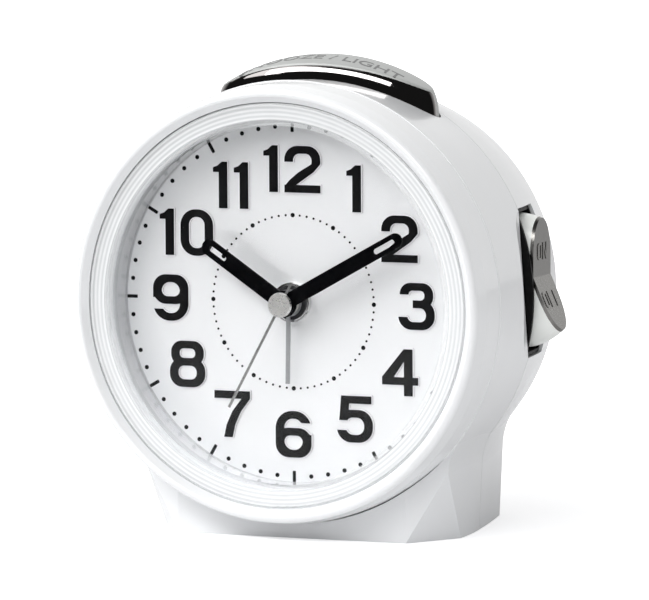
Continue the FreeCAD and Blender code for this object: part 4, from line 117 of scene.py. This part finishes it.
def buttons(middles, turns, long, wide, power, height, sides):
    """Low printed marks.  Outline of each: |u / wide|^power + |v / long|^power = 1, turned clockwise by
    its own angle; three rings step from the dial up to the rim and in to the middle."""
    angle = np.arange(sides) * TURN / sides
    u = np.sign(np.cos(angle)) * np.abs(np.cos(angle)) ** (2 / power)
    v = np.sign(np.sin(angle)) * np.abs(np.sin(angle)) ** (2 / power)
    share = np.array((1.0, 1.0, 0.9, 0.0))[:, None]
    lift = np.array((-0.02, 0.7, 1.0, 1.0))[:, None] * height
    u, v = share * u * wide, share * v * long
    turns = np.radians(turns)[:, None, None]
    x = middles[:, 0][:, None, None] + u * np.cos(turns) + v * np.sin(turns)
    z = middles[:, 1][:, None, None] - u * np.sin(turns) + v * np.cos(turns)
    points = np.stack((x, np.broadcast_to(-lift, x.shape), z), -1).reshape(-1, 3)
    one = quads(len(share), sides)
    step = np.arange(len(middles))[:, None, None] * len(share) * sides
    return points, (one + step).reshape(-1, 4)


def round_track(radius, degrees):
    """Points at a radius from the dial's centre, at angles clockwise from twelve."""
    angle = np.radians(degrees)
    return np.stack((radius * np.sin(angle), radius * np.cos(angle)), -1)


def joined(*shells):
    """Several shells as one: points stacked, faces counted on."""
    starts = np.cumsum([0] + [len(points) for points, _ in shells[:-1]])
    faces = [faces + start for (_, faces), start in zip(shells, starts)]
    return np.concatenate([points for points, _ in shells]), np.concatenate(faces)


def minute_marks():
    """Twelve upright bars and forty-eight dots on one circle."""
    hours, minutes = np.arange(0, 360, 30.0), np.arange(0, 360, 6.0)
    between = minutes[minutes % 30 > 0]
    bars = buttons(round_track(MINUTE_TRACK, hours), hours, HOUR_BAR_LONG, HOUR_BAR_WIDE, BAR_POWER, INK,
                   BAR_SIDES)
    dots = buttons(round_track(MINUTE_TRACK, between), between, MINUTE_DOT, MINUTE_DOT, DOT_POWER, INK,
                   DOT_SIDES)
    return joined(bars, dots)


def alarm_marks():
    """Twelve larger dots on the hours and sixty small ones, five to each hour's space."""
    hours = np.arange(0, 360, 30.0)
    between = np.arange(0, 360, 5.0)
    between = between[between % 30 > 0]
    big = buttons(round_track(ALARM_TRACK, hours), hours, ALARM_DOT_BIG, ALARM_DOT_BIG, DOT_POWER, INK,
                  DOT_SIDES)
    small = buttons(round_track(ALARM_TRACK, between), between, ALARM_DOT_SMALL, ALARM_DOT_SMALL, DOT_POWER,
                    INK, SMALL_DOT_SIDES)
    return joined(big, small)


def crown(x, y):
    """Height of the bar's top: its peak less the fall of the long arc along x and the short arc along y."""
    hoop = CROWN_LONG - CROWN_SHORT
    reach = hoop + np.sqrt(CROWN_SHORT ** 2 - (y - BAR_Y) ** 2)
    return BAR_TOP - CROWN_LONG + np.sqrt(reach ** 2 - x ** 2)


def bar_wall(along, height):
    """Point on the bar's wall.  Along: the oval's angle.  Height: 0 at the foot, hidden in the case, to 1
    at the top edge; the wall leans in by a share of height and of its cube, and out_x, out_y face out."""
    across = np.hypot(BAR_DEEP * np.sin(along), BAR_LONG * np.cos(along))
    out_x, out_y = BAR_DEEP * np.sin(along) / across, -BAR_LONG * np.cos(along) / across
    inset = WALL_LEAN * (LEAN_EVEN * height + (1 - LEAN_EVEN) * height ** 3)
    x = BAR_LONG * np.sin(along) - out_x * inset
    y = BAR_Y - BAR_DEEP * np.cos(along) - out_y * inset
    edge_x = BAR_LONG * np.sin(along) - out_x * WALL_LEAN
    edge_y = BAR_Y - BAR_DEEP * np.cos(along) - out_y * WALL_LEAN
    top = crown(edge_x, edge_y) - EDGE_FALL
    foot = np.sqrt(BAR_FOOT_RADIUS ** 2 - x ** 2)
    return x, y, foot + (top - foot) * height, out_x, out_y, across


def bar_shell():
    """The whole bar, hollow below.  Round: the oval's angle.  Up: from the middle of the hollow's roof out
    to its wall and down to the foot, then up the leaning wall, over a rounded edge, and the outline shrunk
    towards the middle at the crown's height."""
    round_it = (np.arange(BAR_STEPS) * TURN / BAR_STEPS)[None, :]
    x, y, z, out_x, out_y, _ = bar_wall(round_it, np.linspace(0, 1, 9)[:, None])
    bend = np.radians(np.linspace(15, 90, 6))[:, None]
    inset = WALL_LEAN + EDGE_FALL * (1 - np.cos(bend))
    edge_x = BAR_LONG * np.sin(round_it) - out_x * inset
    edge_y = BAR_Y - BAR_DEEP * np.cos(round_it) - out_y * inset
    edge_z = crown(edge_x, edge_y) - EDGE_FALL * (1 - np.sin(bend))
    share = np.linspace(1, 0, 24)[1:, None]
    top_x, top_y = edge_x[-1] * share, BAR_Y + (edge_y[-1] - BAR_Y) * share
    inner_x = BAR_LONG * np.sin(round_it) - out_x * (WALL_LEAN + BAR_THICK)
    inner_y = BAR_Y - BAR_DEEP * np.cos(round_it) - out_y * (WALL_LEAN + BAR_THICK)
    share = np.linspace(0, 1, 12)[:, None]
    roof_x, roof_y = inner_x * share, BAR_Y + (inner_y - BAR_Y) * share
    rings = [np.stack((roof_x, roof_y, crown(roof_x, roof_y) - BAR_THICK), -1),
             np.stack((inner_x, inner_y, z[:1]), -1),
             np.stack((x, y, z), -1), np.stack((edge_x, edge_y, edge_z), -1),
             np.stack((top_x, top_y, crown(top_x, top_y)), -1)]
    points = np.concatenate(rings)
    return points.reshape(-1, 3), quads(len(points), BAR_STEPS)


def band():
    """Mirror band on the bar's front wall.  Along: the oval's angle, from behind the left end to the right
    end, its upper corners rounded as quarter circles.  Round: out over the wall, standing proud of it, then
    over the band's upper edge and down inside the wall."""
    along = np.radians(np.linspace(BAND_LEFT, BAND_RIGHT, BAND_STEPS))[:, None]
    over = [BAND_TOP + 0.005, BAND_TOP - 0.01, 0.0]
    height = np.concatenate((np.linspace(0, BAND_TOP, BAND_ROWS), over))[None, :]
    inside = [BAND_PROUD / 2, -BAND_SINK, -BAND_SINK]
    proud = np.concatenate((np.full(BAND_ROWS, BAND_PROUD), inside))[None, :]
    across = bar_wall(along, 0.0)[-1]
    from_end = np.minimum(np.radians(BAND_RIGHT) - along, along - np.radians(BAND_LEFT)) * across
    corner = np.clip(BAND_CORNER - from_end, 0, BAND_CORNER)
    share = 1 - (BAND_CORNER - np.sqrt(BAND_CORNER ** 2 - corner ** 2)) / BAND_CORNER_FALL
    x, y, z, out_x, out_y, _ = bar_wall(along, height * share)
    proud = np.where(from_end > BAND_END, proud, np.minimum(proud, 0.0))
    points = np.stack((x + out_x * proud, y + out_y * proud, z), -1)
    loop = points.shape[1]
    ends = [list(range(loop)), list(range((BAND_STEPS - 1) * loop, BAND_STEPS * loop))]
    return points.reshape(-1, 3), quads(BAND_STEPS, loop).tolist() + ends


def body_bead():
    """Half-round bead on the body's front edge: a small circle carried round the dial's axis."""
    around = (np.arange(BEAD_STEPS) * TURN / BEAD_STEPS)[:, None]
    small = (np.arange(BEAD_SIDES) * TURN / BEAD_SIDES)[None, :]
    radius = BODY_EDGE + BEAD * np.cos(small)
    points = np.stack((radius * np.sin(around), BEAD * np.sin(small) + 0 * around,
                       radius * np.cos(around)), -1)
    return points.reshape(-1, 3), quads(BEAD_STEPS, BEAD_SIDES, wrap_rows=True)


def words(text, size, relief):
    """Points and faces of flat lettering with walls, centred, reading along x with its top along y."""
    data = bpy.data.curves.new("words", "FONT")
    data.body, data.size, data.extrude = text, size, relief / 2
    data.align_x, data.align_y = "CENTER", "CENTER"
    data.resolution_u = 4
    writer = bpy.data.objects.new("words", data)
    mesh = bpy.data.meshes.new_from_object(writer)
    points = np.array([corner.co for corner in mesh.vertices], float)
    faces = [list(face.vertices) for face in mesh.polygons]
    bpy.data.objects.remove(writer)
    bpy.data.curves.remove(data)
    bpy.data.meshes.remove(mesh)
    return points, faces


def bar_words():
    """The bar's lettering, laid on its crown: each point stands at the crown's height plus the relief."""
    points, faces = words("SNOOZE / LIGHT", WORD_SIZE, WORD_RELIEF)
    x = points[:, 0] * WORD_SPAN / np.ptp(points[:, 0])
    y = points[:, 1] + BAR_Y - WORD_SHIFT
    z = crown(x, y) + points[:, 2]
    return np.stack((x, y, z), -1), faces


# ---------------------------------------------------------------- materials

class Level:
    """One value on its way through a material; arithmetic on it adds Math nodes."""

    def __init__(self, paint, socket):
        self.paint, self.socket = paint, socket

    def maths(self, operation, *others, clamp=False):
        values = dict(enumerate((self, *others)))
        return self.paint.node("ShaderNodeMath", {"operation": operation, "use_clamp": clamp}, values)

    def __add__(self, other):
        return self.maths("ADD", other)

    def __sub__(self, other):
        return self.maths("SUBTRACT", other)

    def __mul__(self, other):
        return self.maths("MULTIPLY", other)

    def __truediv__(self, other):
        return self.maths("DIVIDE", other)

    def __pow__(self, other):
        return self.maths("POWER", other)

    def __rsub__(self, other):
        return self.paint.node("ShaderNodeMath", {"operation": "SUBTRACT"}, {0: other, 1: self})

    __radd__, __rmul__ = __add__, __mul__

    def sine(self):
        return self.maths("SINE")

    def above(self, edge, soft):
        """0 below the edge and 1 above it, over a soft width."""
        return ((self - edge) / soft + 0.5).maths("ADD", 0.0, clamp=True)


class Paint:
    """One node tree, written node by node."""

    def __init__(self, tree):
        self.tree = tree
        tree.nodes.clear()

    def node(self, kind, settings=None, values=None, output=0):
        """Adds a node: its settings first, then a number, colour or link on each socket given."""
        made = self.tree.nodes.new(kind)
        for name, setting in (settings or {}).items():
            setattr(made, name, setting)
        for socket, value in (values or {}).items():
            if isinstance(value, Level):
                self.tree.links.new(value.socket, made.inputs[socket])
            else:
                made.inputs[socket].default_value = value
        return Level(self, made.outputs[output]) if made.outputs else None

    def place(self, stretch=(1.0, 1.0, 1.0)):
        """Where on the clock, in millimetres from the dial's centre, before any stretch of a pattern."""
        where = self.node("ShaderNodeTexCoord", output=3)
        scale = tuple(share / MM for share in stretch)
        shift = tuple(-float(c) * share for c, share in zip(DIAL_CENTRE, stretch))
        return self.node("ShaderNodeMapping", {}, {"Vector": where, "Location": shift, "Scale": scale})

    def axes(self, where):
        """The x, y and z of a place."""
        split = self.node("ShaderNodeSeparateXYZ", {}, {0: where})
        return [Level(self, output) for output in split.socket.node.outputs]

    def from_axis(self, x, z):
        """Distance from the dial's axis."""
        return (x * x + z * z) ** 0.5

    def cloud(self, where, size, detail=2.0):
        """Soft noise from 0 to 1 whose lumps are this many millimetres across."""
        return self.node("ShaderNodeTexNoise", {}, {"Vector": where, "Scale": 1 / size, "Detail": detail})

    def mix(self, share, first, second):
        """Colour from first to second by share."""
        return self.node("ShaderNodeMix", {"data_type": "RGBA"}, {0: share, 6: first, 7: second}, 2)

    def bump(self, height, depth):
        """Normal tilted by a height from 0 to 1, this many millimetres deep."""
        return self.node("ShaderNodeBump", {}, {"Height": height, "Distance": depth * MM, "Strength": 1.0})

    def shader(self, values):
        return self.node("ShaderNodeBsdfPrincipled", {}, values)

    def done(self, surface):
        self.node("ShaderNodeOutputMaterial", {}, {0: surface})


def paint_for(name):
    material = bpy.data.materials.new(name)
    material.use_nodes = True
    return material, Paint(material.node_tree)


def shade(tint, share):
    return tuple(min(1.0, c * share) for c in tint) + (1.0,)


def moulded(name, tint, polish, coat=0.0, grain=0.5, depth=0.003, drift=0.03, gleam=0.5):
    """Moulded plastic: its tone drifts over centimetres, its polish over millimetres, its skin is finely
    grained, and a clear coat lies over it where it is lacquered.  Gleam is how much it mirrors."""
    material, paint = paint_for(name)
    where = paint.place()
    slow, fine = paint.cloud(where, 19.0), paint.cloud(where, grain, 4.0)
    patch = paint.cloud(where, 4.5, 3.0)
    paint.done(paint.shader({
        "Base Color": paint.mix(slow, shade(tint, 1 - drift), shade(tint, 1 + drift)),
        "Roughness": polish - 0.04 + patch * 0.08,
        "Specular IOR Level": gleam,
        "Coat Weight": coat, "Coat Roughness": 0.06,
        "Normal": paint.bump(fine, depth)}))
    return material


def drawn_metal(name, tint, polish, stretch=(1.0, 1.0, 1.0), grain=0.25, depth=0.002):
    """Worked metal: fine lines drawn out along one direction, with tone and polish that wander a little."""
    material, paint = paint_for(name)
    lines = paint.cloud(paint.place(stretch), grain, 5.0)
    tone = paint.cloud(paint.place(), 2.4, 3.0)
    paint.done(paint.shader({
        "Base Color": paint.mix(tone, shade(tint, 0.93), shade(tint, 1.05)),
        "Roughness": polish - 0.05 + lines * 0.1,
        "Metallic": 1.0,
        "Normal": paint.bump(lines, depth)}))
    return material


def spun_metal(name, tint, polish, pitch):
    """Turned metal: grooves in rings round the dial's axis, a pitch apart, seen in relief and in tone."""
    material, paint = paint_for(name)
    x, _, z = paint.axes(paint.place())
    ring = (paint.from_axis(x, z) * (TURN / pitch)).sine() * 0.5 + 0.5
    speck = paint.cloud(paint.place(), 0.4, 3.0)
    paint.done(paint.shader({
        "Base Color": paint.mix(ring, shade(tint, 0.86), shade(tint, 1.04)),
        "Roughness": polish + speck * 0.08,
        "Metallic": 1.0,
        "Normal": paint.bump(ring, 0.01)}))
    return material


def pearl_dial():
    """Pearl silver card: tiny flakes give it a fine sparkle, and it gleams softly."""
    material, paint = paint_for("dial_pearl")
    where = paint.place()
    flake = paint.node("ShaderNodeTexVoronoi", {"feature": "F1"}, {"Vector": where, "Scale": 9.0}, 1)
    flake = paint.node("ShaderNodeSeparateColor", {}, {0: flake})
    slow = paint.cloud(where, 26.0)
    tint = paint.mix(slow, shade((0.94, 0.95, 0.955), 0.99), shade((0.94, 0.95, 0.955), 1.01))
    paint.done(paint.shader({
        "Base Color": paint.mix(flake * 0.12, tint, (0.97, 0.98, 1.0, 1.0)),
        "Roughness": 0.36 + flake * 0.12,
        "Metallic": 0.66,
        "Normal": paint.bump(paint.cloud(where, 0.2, 3.0), 0.002)}))
    return material


def foil_rim():
    """White foil round each numeral; its upright walls are painted near-black, a painted shadow line round
    each rim.
    """
    material, paint = paint_for("numeral_foil")
    where = paint.place()
    facing = paint.axes(paint.node("ShaderNodeTexCoord", output=1))[1]
    front_not_painted_shade = (facing * facing).above(0.5, 0.2)
    wander = paint.cloud(where, 1.5, 3.0)
    paint.done(paint.shader({
        # painted shade: walls that face sideways get the near-black colour as a shadow outline, front faces
        # the white foil
        "Base Color": paint.mix(front_not_painted_shade, (0.06, 0.06, 0.065, 1.0), (0.93, 0.93, 0.95, 1.0)),
        "Roughness": 0.3 + wander * 0.1,
        "Normal": paint.bump(paint.cloud(where, 0.3, 3.0), 0.001)}))
    return material


def clear_lens():
    """Clear acrylic that lets the light through to the dial; faint ripples and turned lines near its rim
    roughen and bend its surface, and grey bands painted near the rim stand in for the rim's reflections and
    refraction.
    """
    material, paint = paint_for("lens_clear")
    where = paint.place()
    x, y, z = paint.axes(where)
    radius = paint.from_axis(x, z)
    rim = radius.above(43.5, 1.0)
    ripple = paint.cloud(where, 5.0, 2.0)
    lines = ((radius * 0.8 + y * 1.3 + ripple * 0.12) * (TURN / 0.8)).sine() * 0.5 + 0.5
    glass = paint.shader({
        "Base Color": paint.mix(rim, (1.0, 1.0, 1.0, 1.0), (0.97, 0.98, 0.98, 1.0)),
        "Roughness": rim * (0.03 + 0.1 * lines),
        "IOR": 1.2, "Transmission Weight": 1.0,
        "Normal": paint.bump(rim * (lines * 0.6 + ripple), 0.02)})
    clear = paint.node("ShaderNodeBsdfTransparent", {}, {"Color": (0.97, 0.97, 0.98, 1.0)})
    shadow = paint.node("ShaderNodeLightPath", output=1)
    # painted reflection: grey bands near the rim, a painted stand-in for the reflections and refraction of
    # the lens's rim
    painted_rim_bands = paint.shader({"Base Color": paint.mix(lines, (0.70, 0.715, 0.725, 1.0), (0.88, 0.89, 0.895, 1.0)),
                         "Roughness": 0.25, "Coat Weight": 0.5})
    # how much of the painted reflection bands covers the glass: a faint ring from 41.9 mm, then more from
    # 43.2 mm outwards
    share = 0.25 * radius.above(41.9, 0.3) + radius.above(43.2, 0.4) * (0.42 + 0.1 * lines)
    glass = paint.node("ShaderNodeMixShader", {}, {0: share, 1: glass, 2: painted_rim_bands})
    paint.done(paint.node("ShaderNodeMixShader", {}, {0: shadow, 1: glass, 2: clear}))
    return material


def satin_bar():
    """Satin metallised top: fine blasted grain over a grey that wanders a little."""
    material, paint = paint_for("bar_satin")
    where = paint.place()
    fine, slow = paint.cloud(where, 0.16, 3.0), paint.cloud(where, 9.0)
    paint.done(paint.shader({
        "Base Color": paint.mix(slow, (0.47, 0.48, 0.47, 1.0), (0.52, 0.53, 0.52, 1.0)),
        "Roughness": 0.45 + fine * 0.1,
        "Metallic": 0.35,
        "Normal": paint.bump(fine, 0.006)}))
    return material


def mirror_band():
    """Dark mirror plating, with the long low waves of a plated moulding."""
    material, paint = paint_for("bar_band")
    where = paint.place()
    wave, smear = paint.cloud(where, 7.0, 1.0), paint.cloud(where, 1.2, 4.0)
    paint.done(paint.shader({
        "Base Color": paint.mix(wave, (0.30, 0.285, 0.28, 1.0), (0.36, 0.345, 0.34, 1.0)),
        "Roughness": 0.03 + smear * 0.03,
        "Metallic": 1.0,
        "Normal": paint.bump(wave, 0.02)}))
    return material


def printed_jacket():
    """Cell wrapped in a plain two-tone sleeve, metal at its ends."""
    material, paint = paint_for("battery_jacket")
    where = paint.place()
    x = paint.axes(where)[0]
    dark = x.above(8.0, 0.2)
    sleeve = paint.mix(dark, (0.42, 0.44, 0.47, 1.0), (0.03, 0.03, 0.035, 1.0))
    bare = x.above(24.0, 0.1)
    paint.done(paint.shader({
        "Base Color": paint.mix(bare, sleeve, (0.6, 0.6, 0.6, 1.0)),
        "Metallic": bare, "Roughness": 0.3 + paint.cloud(where, 2.0) * 0.1,
        "Normal": paint.bump(paint.cloud(where, 0.8), 0.004)}))
    return material


FINISHES = {
    "case_white": lambda: moulded("case_white", (0.79, 0.80, 0.81), 0.30, coat=0.6, depth=0.0015),
    "bezel_white": lambda: moulded("bezel_white", (0.82, 0.83, 0.84), 0.25, coat=0.8, depth=0.0010),
    "door_white": lambda: moulded("door_white", (0.77, 0.78, 0.79), 0.34, coat=0.3, depth=0.004),
    "ear_white": lambda: moulded("ear_white", (0.92, 0.94, 0.91), 0.32, coat=0.4, depth=0.002),
    "plate_white": lambda: moulded("plate_white", (0.72, 0.72, 0.70), 0.42, depth=0.006),
    "gear_white": lambda: moulded("gear_white", (0.70, 0.69, 0.65), 0.38, depth=0.004),
    "housing_black": lambda: moulded("housing_black", (0.003, 0.003, 0.0033), 0.5, depth=0.004, drift=0.2,
                                     gleam=0.15),
    "switch_black": lambda: moulded("switch_black", (0.02, 0.02, 0.022), 0.45, depth=0.006, drift=0.2),
    "movement_black": lambda: moulded("movement_black", (0.025, 0.025, 0.028), 0.40, depth=0.008, drift=0.2),
    "knob_black": lambda: moulded("knob_black", (0.03, 0.03, 0.032), 0.38, depth=0.006, drift=0.2),
    "chip_black": lambda: moulded("chip_black", (0.02, 0.02, 0.021), 0.5, depth=0.008, drift=0.2),
    "board_green": lambda: moulded("board_green", (0.02, 0.16, 0.06), 0.35, coat=0.4, depth=0.004, drift=0.2),
    "lamp_clear": lambda: moulded("lamp_clear", (0.80, 0.82, 0.78), 0.12, coat=0.6, depth=0.002),
    "hand_black": lambda: moulded("hand_black", (0.0015, 0.0015, 0.002), 0.22, depth=0.0006, drift=0.2,
                                  gleam=0.06),
    "numeral_black": lambda: moulded("numeral_black", (0.006, 0.006, 0.0065), 0.3, depth=0.001, drift=0.2,
                                     gleam=0.12),
    "hand_grey": lambda: drawn_metal("hand_grey", (0.42, 0.43, 0.44), 0.42, (1.0, 1.0, 0.06)),
    "hand_steel": lambda: drawn_metal("hand_steel", (0.36, 0.36, 0.355), 0.24, (0.3, 1.0, 0.1)),
    "rocker_chrome": lambda: drawn_metal("rocker_chrome", (0.22, 0.215, 0.205), 0.26, grain=0.2),
    "steel_parts": lambda: drawn_metal("steel_parts", (0.56, 0.55, 0.53), 0.3, (1.0, 0.2, 1.0)),
    "screw_steel": lambda: drawn_metal("screw_steel", (0.50, 0.49, 0.47), 0.32),
    "spring_steel": lambda: drawn_metal("spring_steel", (0.48, 0.48, 0.48), 0.3),
    "contact_steel": lambda: drawn_metal("contact_steel", (0.62, 0.62, 0.60), 0.28, (1.0, 1.0, 0.1)),
    "contact_brass": lambda: drawn_metal("contact_brass", (0.72, 0.52, 0.24), 0.3, (1.0, 1.0, 0.1)),
    "arbor_brass": lambda: drawn_metal("arbor_brass", (0.74, 0.56, 0.28), 0.25, (1.0, 8.0, 1.0)),
    "winding_copper": lambda: drawn_metal("winding_copper", (0.65, 0.30, 0.14), 0.3, (14.0, 1.0, 1.0), 2.0,
                                          0.05),
    "magnet_grey": lambda: drawn_metal("magnet_grey", (0.24, 0.24, 0.25), 0.45),
    "nut_metal": lambda: spun_metal("nut_metal", (0.66, 0.66, 0.66), 0.22, 0.5),
    "cap_aluminium": lambda: spun_metal("cap_aluminium", (0.80, 0.79, 0.77), 0.24, 0.36),
    "numeral_foil": foil_rim,
    "dial_pearl": pearl_dial,
    "lens_clear": clear_lens,
    "bar_satin": satin_bar,
    "battery_jacket": printed_jacket,
}


def dress_frame():
    """Gives every node of the frame the finish of its slot."""
    made = {}
    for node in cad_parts.values():
        for place in node.material_slots:
            slot = place.material.name.removeprefix("packed_").split(".")[0]
            if slot not in made:
                place.material.name = "packed_" + slot
                made[slot] = FINISHES[slot]()
            place.material = made[slot]
    return made


# ---------------------------------------------------------------- studio

def add_camera():
    """Long lens from the front right, a little above: the photograph's own place."""
    data = bpy.data.cameras.new("camera")
    data.lens, data.sensor_width = 366.3, 36.0
    data.clip_end = 50.0
    camera = bpy.data.objects.new("camera", data)
    camera.matrix_world = Matrix(((0.92341, -0.03350, 0.38235, 0.5941),
                                  (0.38377, 0.09634, -0.91839, -1.4334),
                                  (-0.00607, 0.99479, 0.10182, 0.2119),
                                  (0.0, 0.0, 0.0, 1.0)))
    bpy.context.scene.collection.objects.link(camera)
    bpy.context.scene.camera = camera


def add_lamp(name, place, wide, tall, glow):
    """Soft rectangular lamp aimed at the clock; its face shines at glow times white."""
    data = bpy.data.lights.new(name, "AREA")
    data.shape, data.size, data.size_y = "RECTANGLE", wide, tall
    data.energy = glow * math.pi * wide * tall
    lamp = bpy.data.objects.new(name, data)
    lamp.location = place
    aim = Vector((0.0, -0.01, 0.055)) - Vector(place)
    lamp.rotation_euler = aim.to_track_quat("-Z", "Y").to_euler()
    bpy.context.scene.collection.objects.link(lamp)


def add_floor():
    """White table: shows white to the camera, with the clock's own soft shadow kept on it.  It darkens in
    front of the clock, where the lens would mirror it."""
    mesh = bpy.data.meshes.new("table")
    mesh.from_pydata([(-2.5, -1.6, 0.0), (2.5, -1.6, 0.0), (2.5, 2.5, 0.0), (-2.5, 2.5, 0.0)], [],
                     [(0, 1, 2, 3)])
    floor = bpy.data.objects.new("table", mesh)
    material, paint = paint_for("table_white")
    camera_ray = paint.node("ShaderNodeLightPath")
    where = paint.place()
    speck, near = paint.cloud(where, 40.0), paint.axes(where)[1].above(-400.0, 130.0)
    x, y, _ = paint.axes(where)
    far = paint.from_axis(x, y).above(330.0, 260.0)
    paper = paint.mix(speck, (0.86, 0.86, 0.87, 1.0), (0.88, 0.88, 0.89, 1.0))
    paper = paint.shader({"Base Color": paint.mix(near, (0.02, 0.02, 0.02, 1.0), paper),
                          "Roughness": 0.9, "Specular IOR Level": 0.0})
    glow = camera_ray * (0.45 + 0.55 * far)
    lift = paint.node("ShaderNodeEmission", {}, {0: (1.0, 1.0, 1.0, 1.0), 1: glow})
    paint.done(paint.node("ShaderNodeAddShader", {}, {0: paper, 1: lift}))
    mesh.materials.append(material)
    bpy.context.scene.collection.objects.link(floor)


def set_world():
    """White room to the camera; metal and glass see it white behind the clock and dark in front."""
    world = bpy.data.worlds.new("studio")
    bpy.context.scene.world = world
    world.use_nodes = True
    paint = Paint(world.node_tree)
    rays = paint.node("ShaderNodeLightPath").socket.node.outputs
    camera_ray, glossy, through = (Level(paint, rays[name]) for name in
                                   ("Is Camera Ray", "Is Glossy Ray", "Is Transmission Ray"))
    y = paint.axes(paint.node("ShaderNodeTexCoord"))[1]
    behind = y.above(-0.02, 0.35)
    ambient = AMBIENT + (1 - AMBIENT) * behind * through
    mirrored = DARK_ROOM + (1 - DARK_ROOM) * y.above(0.4, 0.4)
    seen = ambient + (mirrored - ambient) * glossy
    glow = camera_ray + seen * (1 - camera_ray)
    shade_of = paint.node("ShaderNodeBackground", {}, {0: (1.0, 1.0, 1.0, 1.0), 1: glow})
    paint.node("ShaderNodeOutputWorld", {}, {0: shade_of})


# ---------------------------------------------------------------- the clock

add_camera()
set_world()
add_floor()
add_lamp("softbox_long", (-0.44, -1.43, 1.25), 2.6, 0.5, 6.8)
add_lamp("softbox_left", (-1.1, -0.6, 1.2), 1.0, 1.0, 2.4)
add_lamp("softbox_top", (-0.4, -0.1, 1.4), 1.0, 0.8, 0.4)

finishes = dress_frame()
black = finishes["numeral_black"]
piece("minute_track", *minute_marks(), "case", "numeral_black", black)
piece("alarm_track", *alarm_marks(), "case", "numeral_black", black)
bar = piece("snooze_shell", *bar_shell(), "snooze", "bar_satin", finishes["bar_satin"])
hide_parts("snooze_bar")
piece("snooze_band", *band(), "snooze", "bar_satin", mirror_band())
# dark grey lettering: painted shade that stands in for the shading of the raised letters
painted_shade_lettering = moulded("bar_lettering_painted_shade", (0.16, 0.16, 0.16), 0.4, depth=0.002)
piece("snooze_words", *bar_words(), "snooze", "bar_satin", painted_shade_lettering)
piece("body_bead", *body_bead(), "case", "case_white", finishes["bezel_white"])

scene = bpy.context.scene
scene.view_settings.view_transform = "Standard"
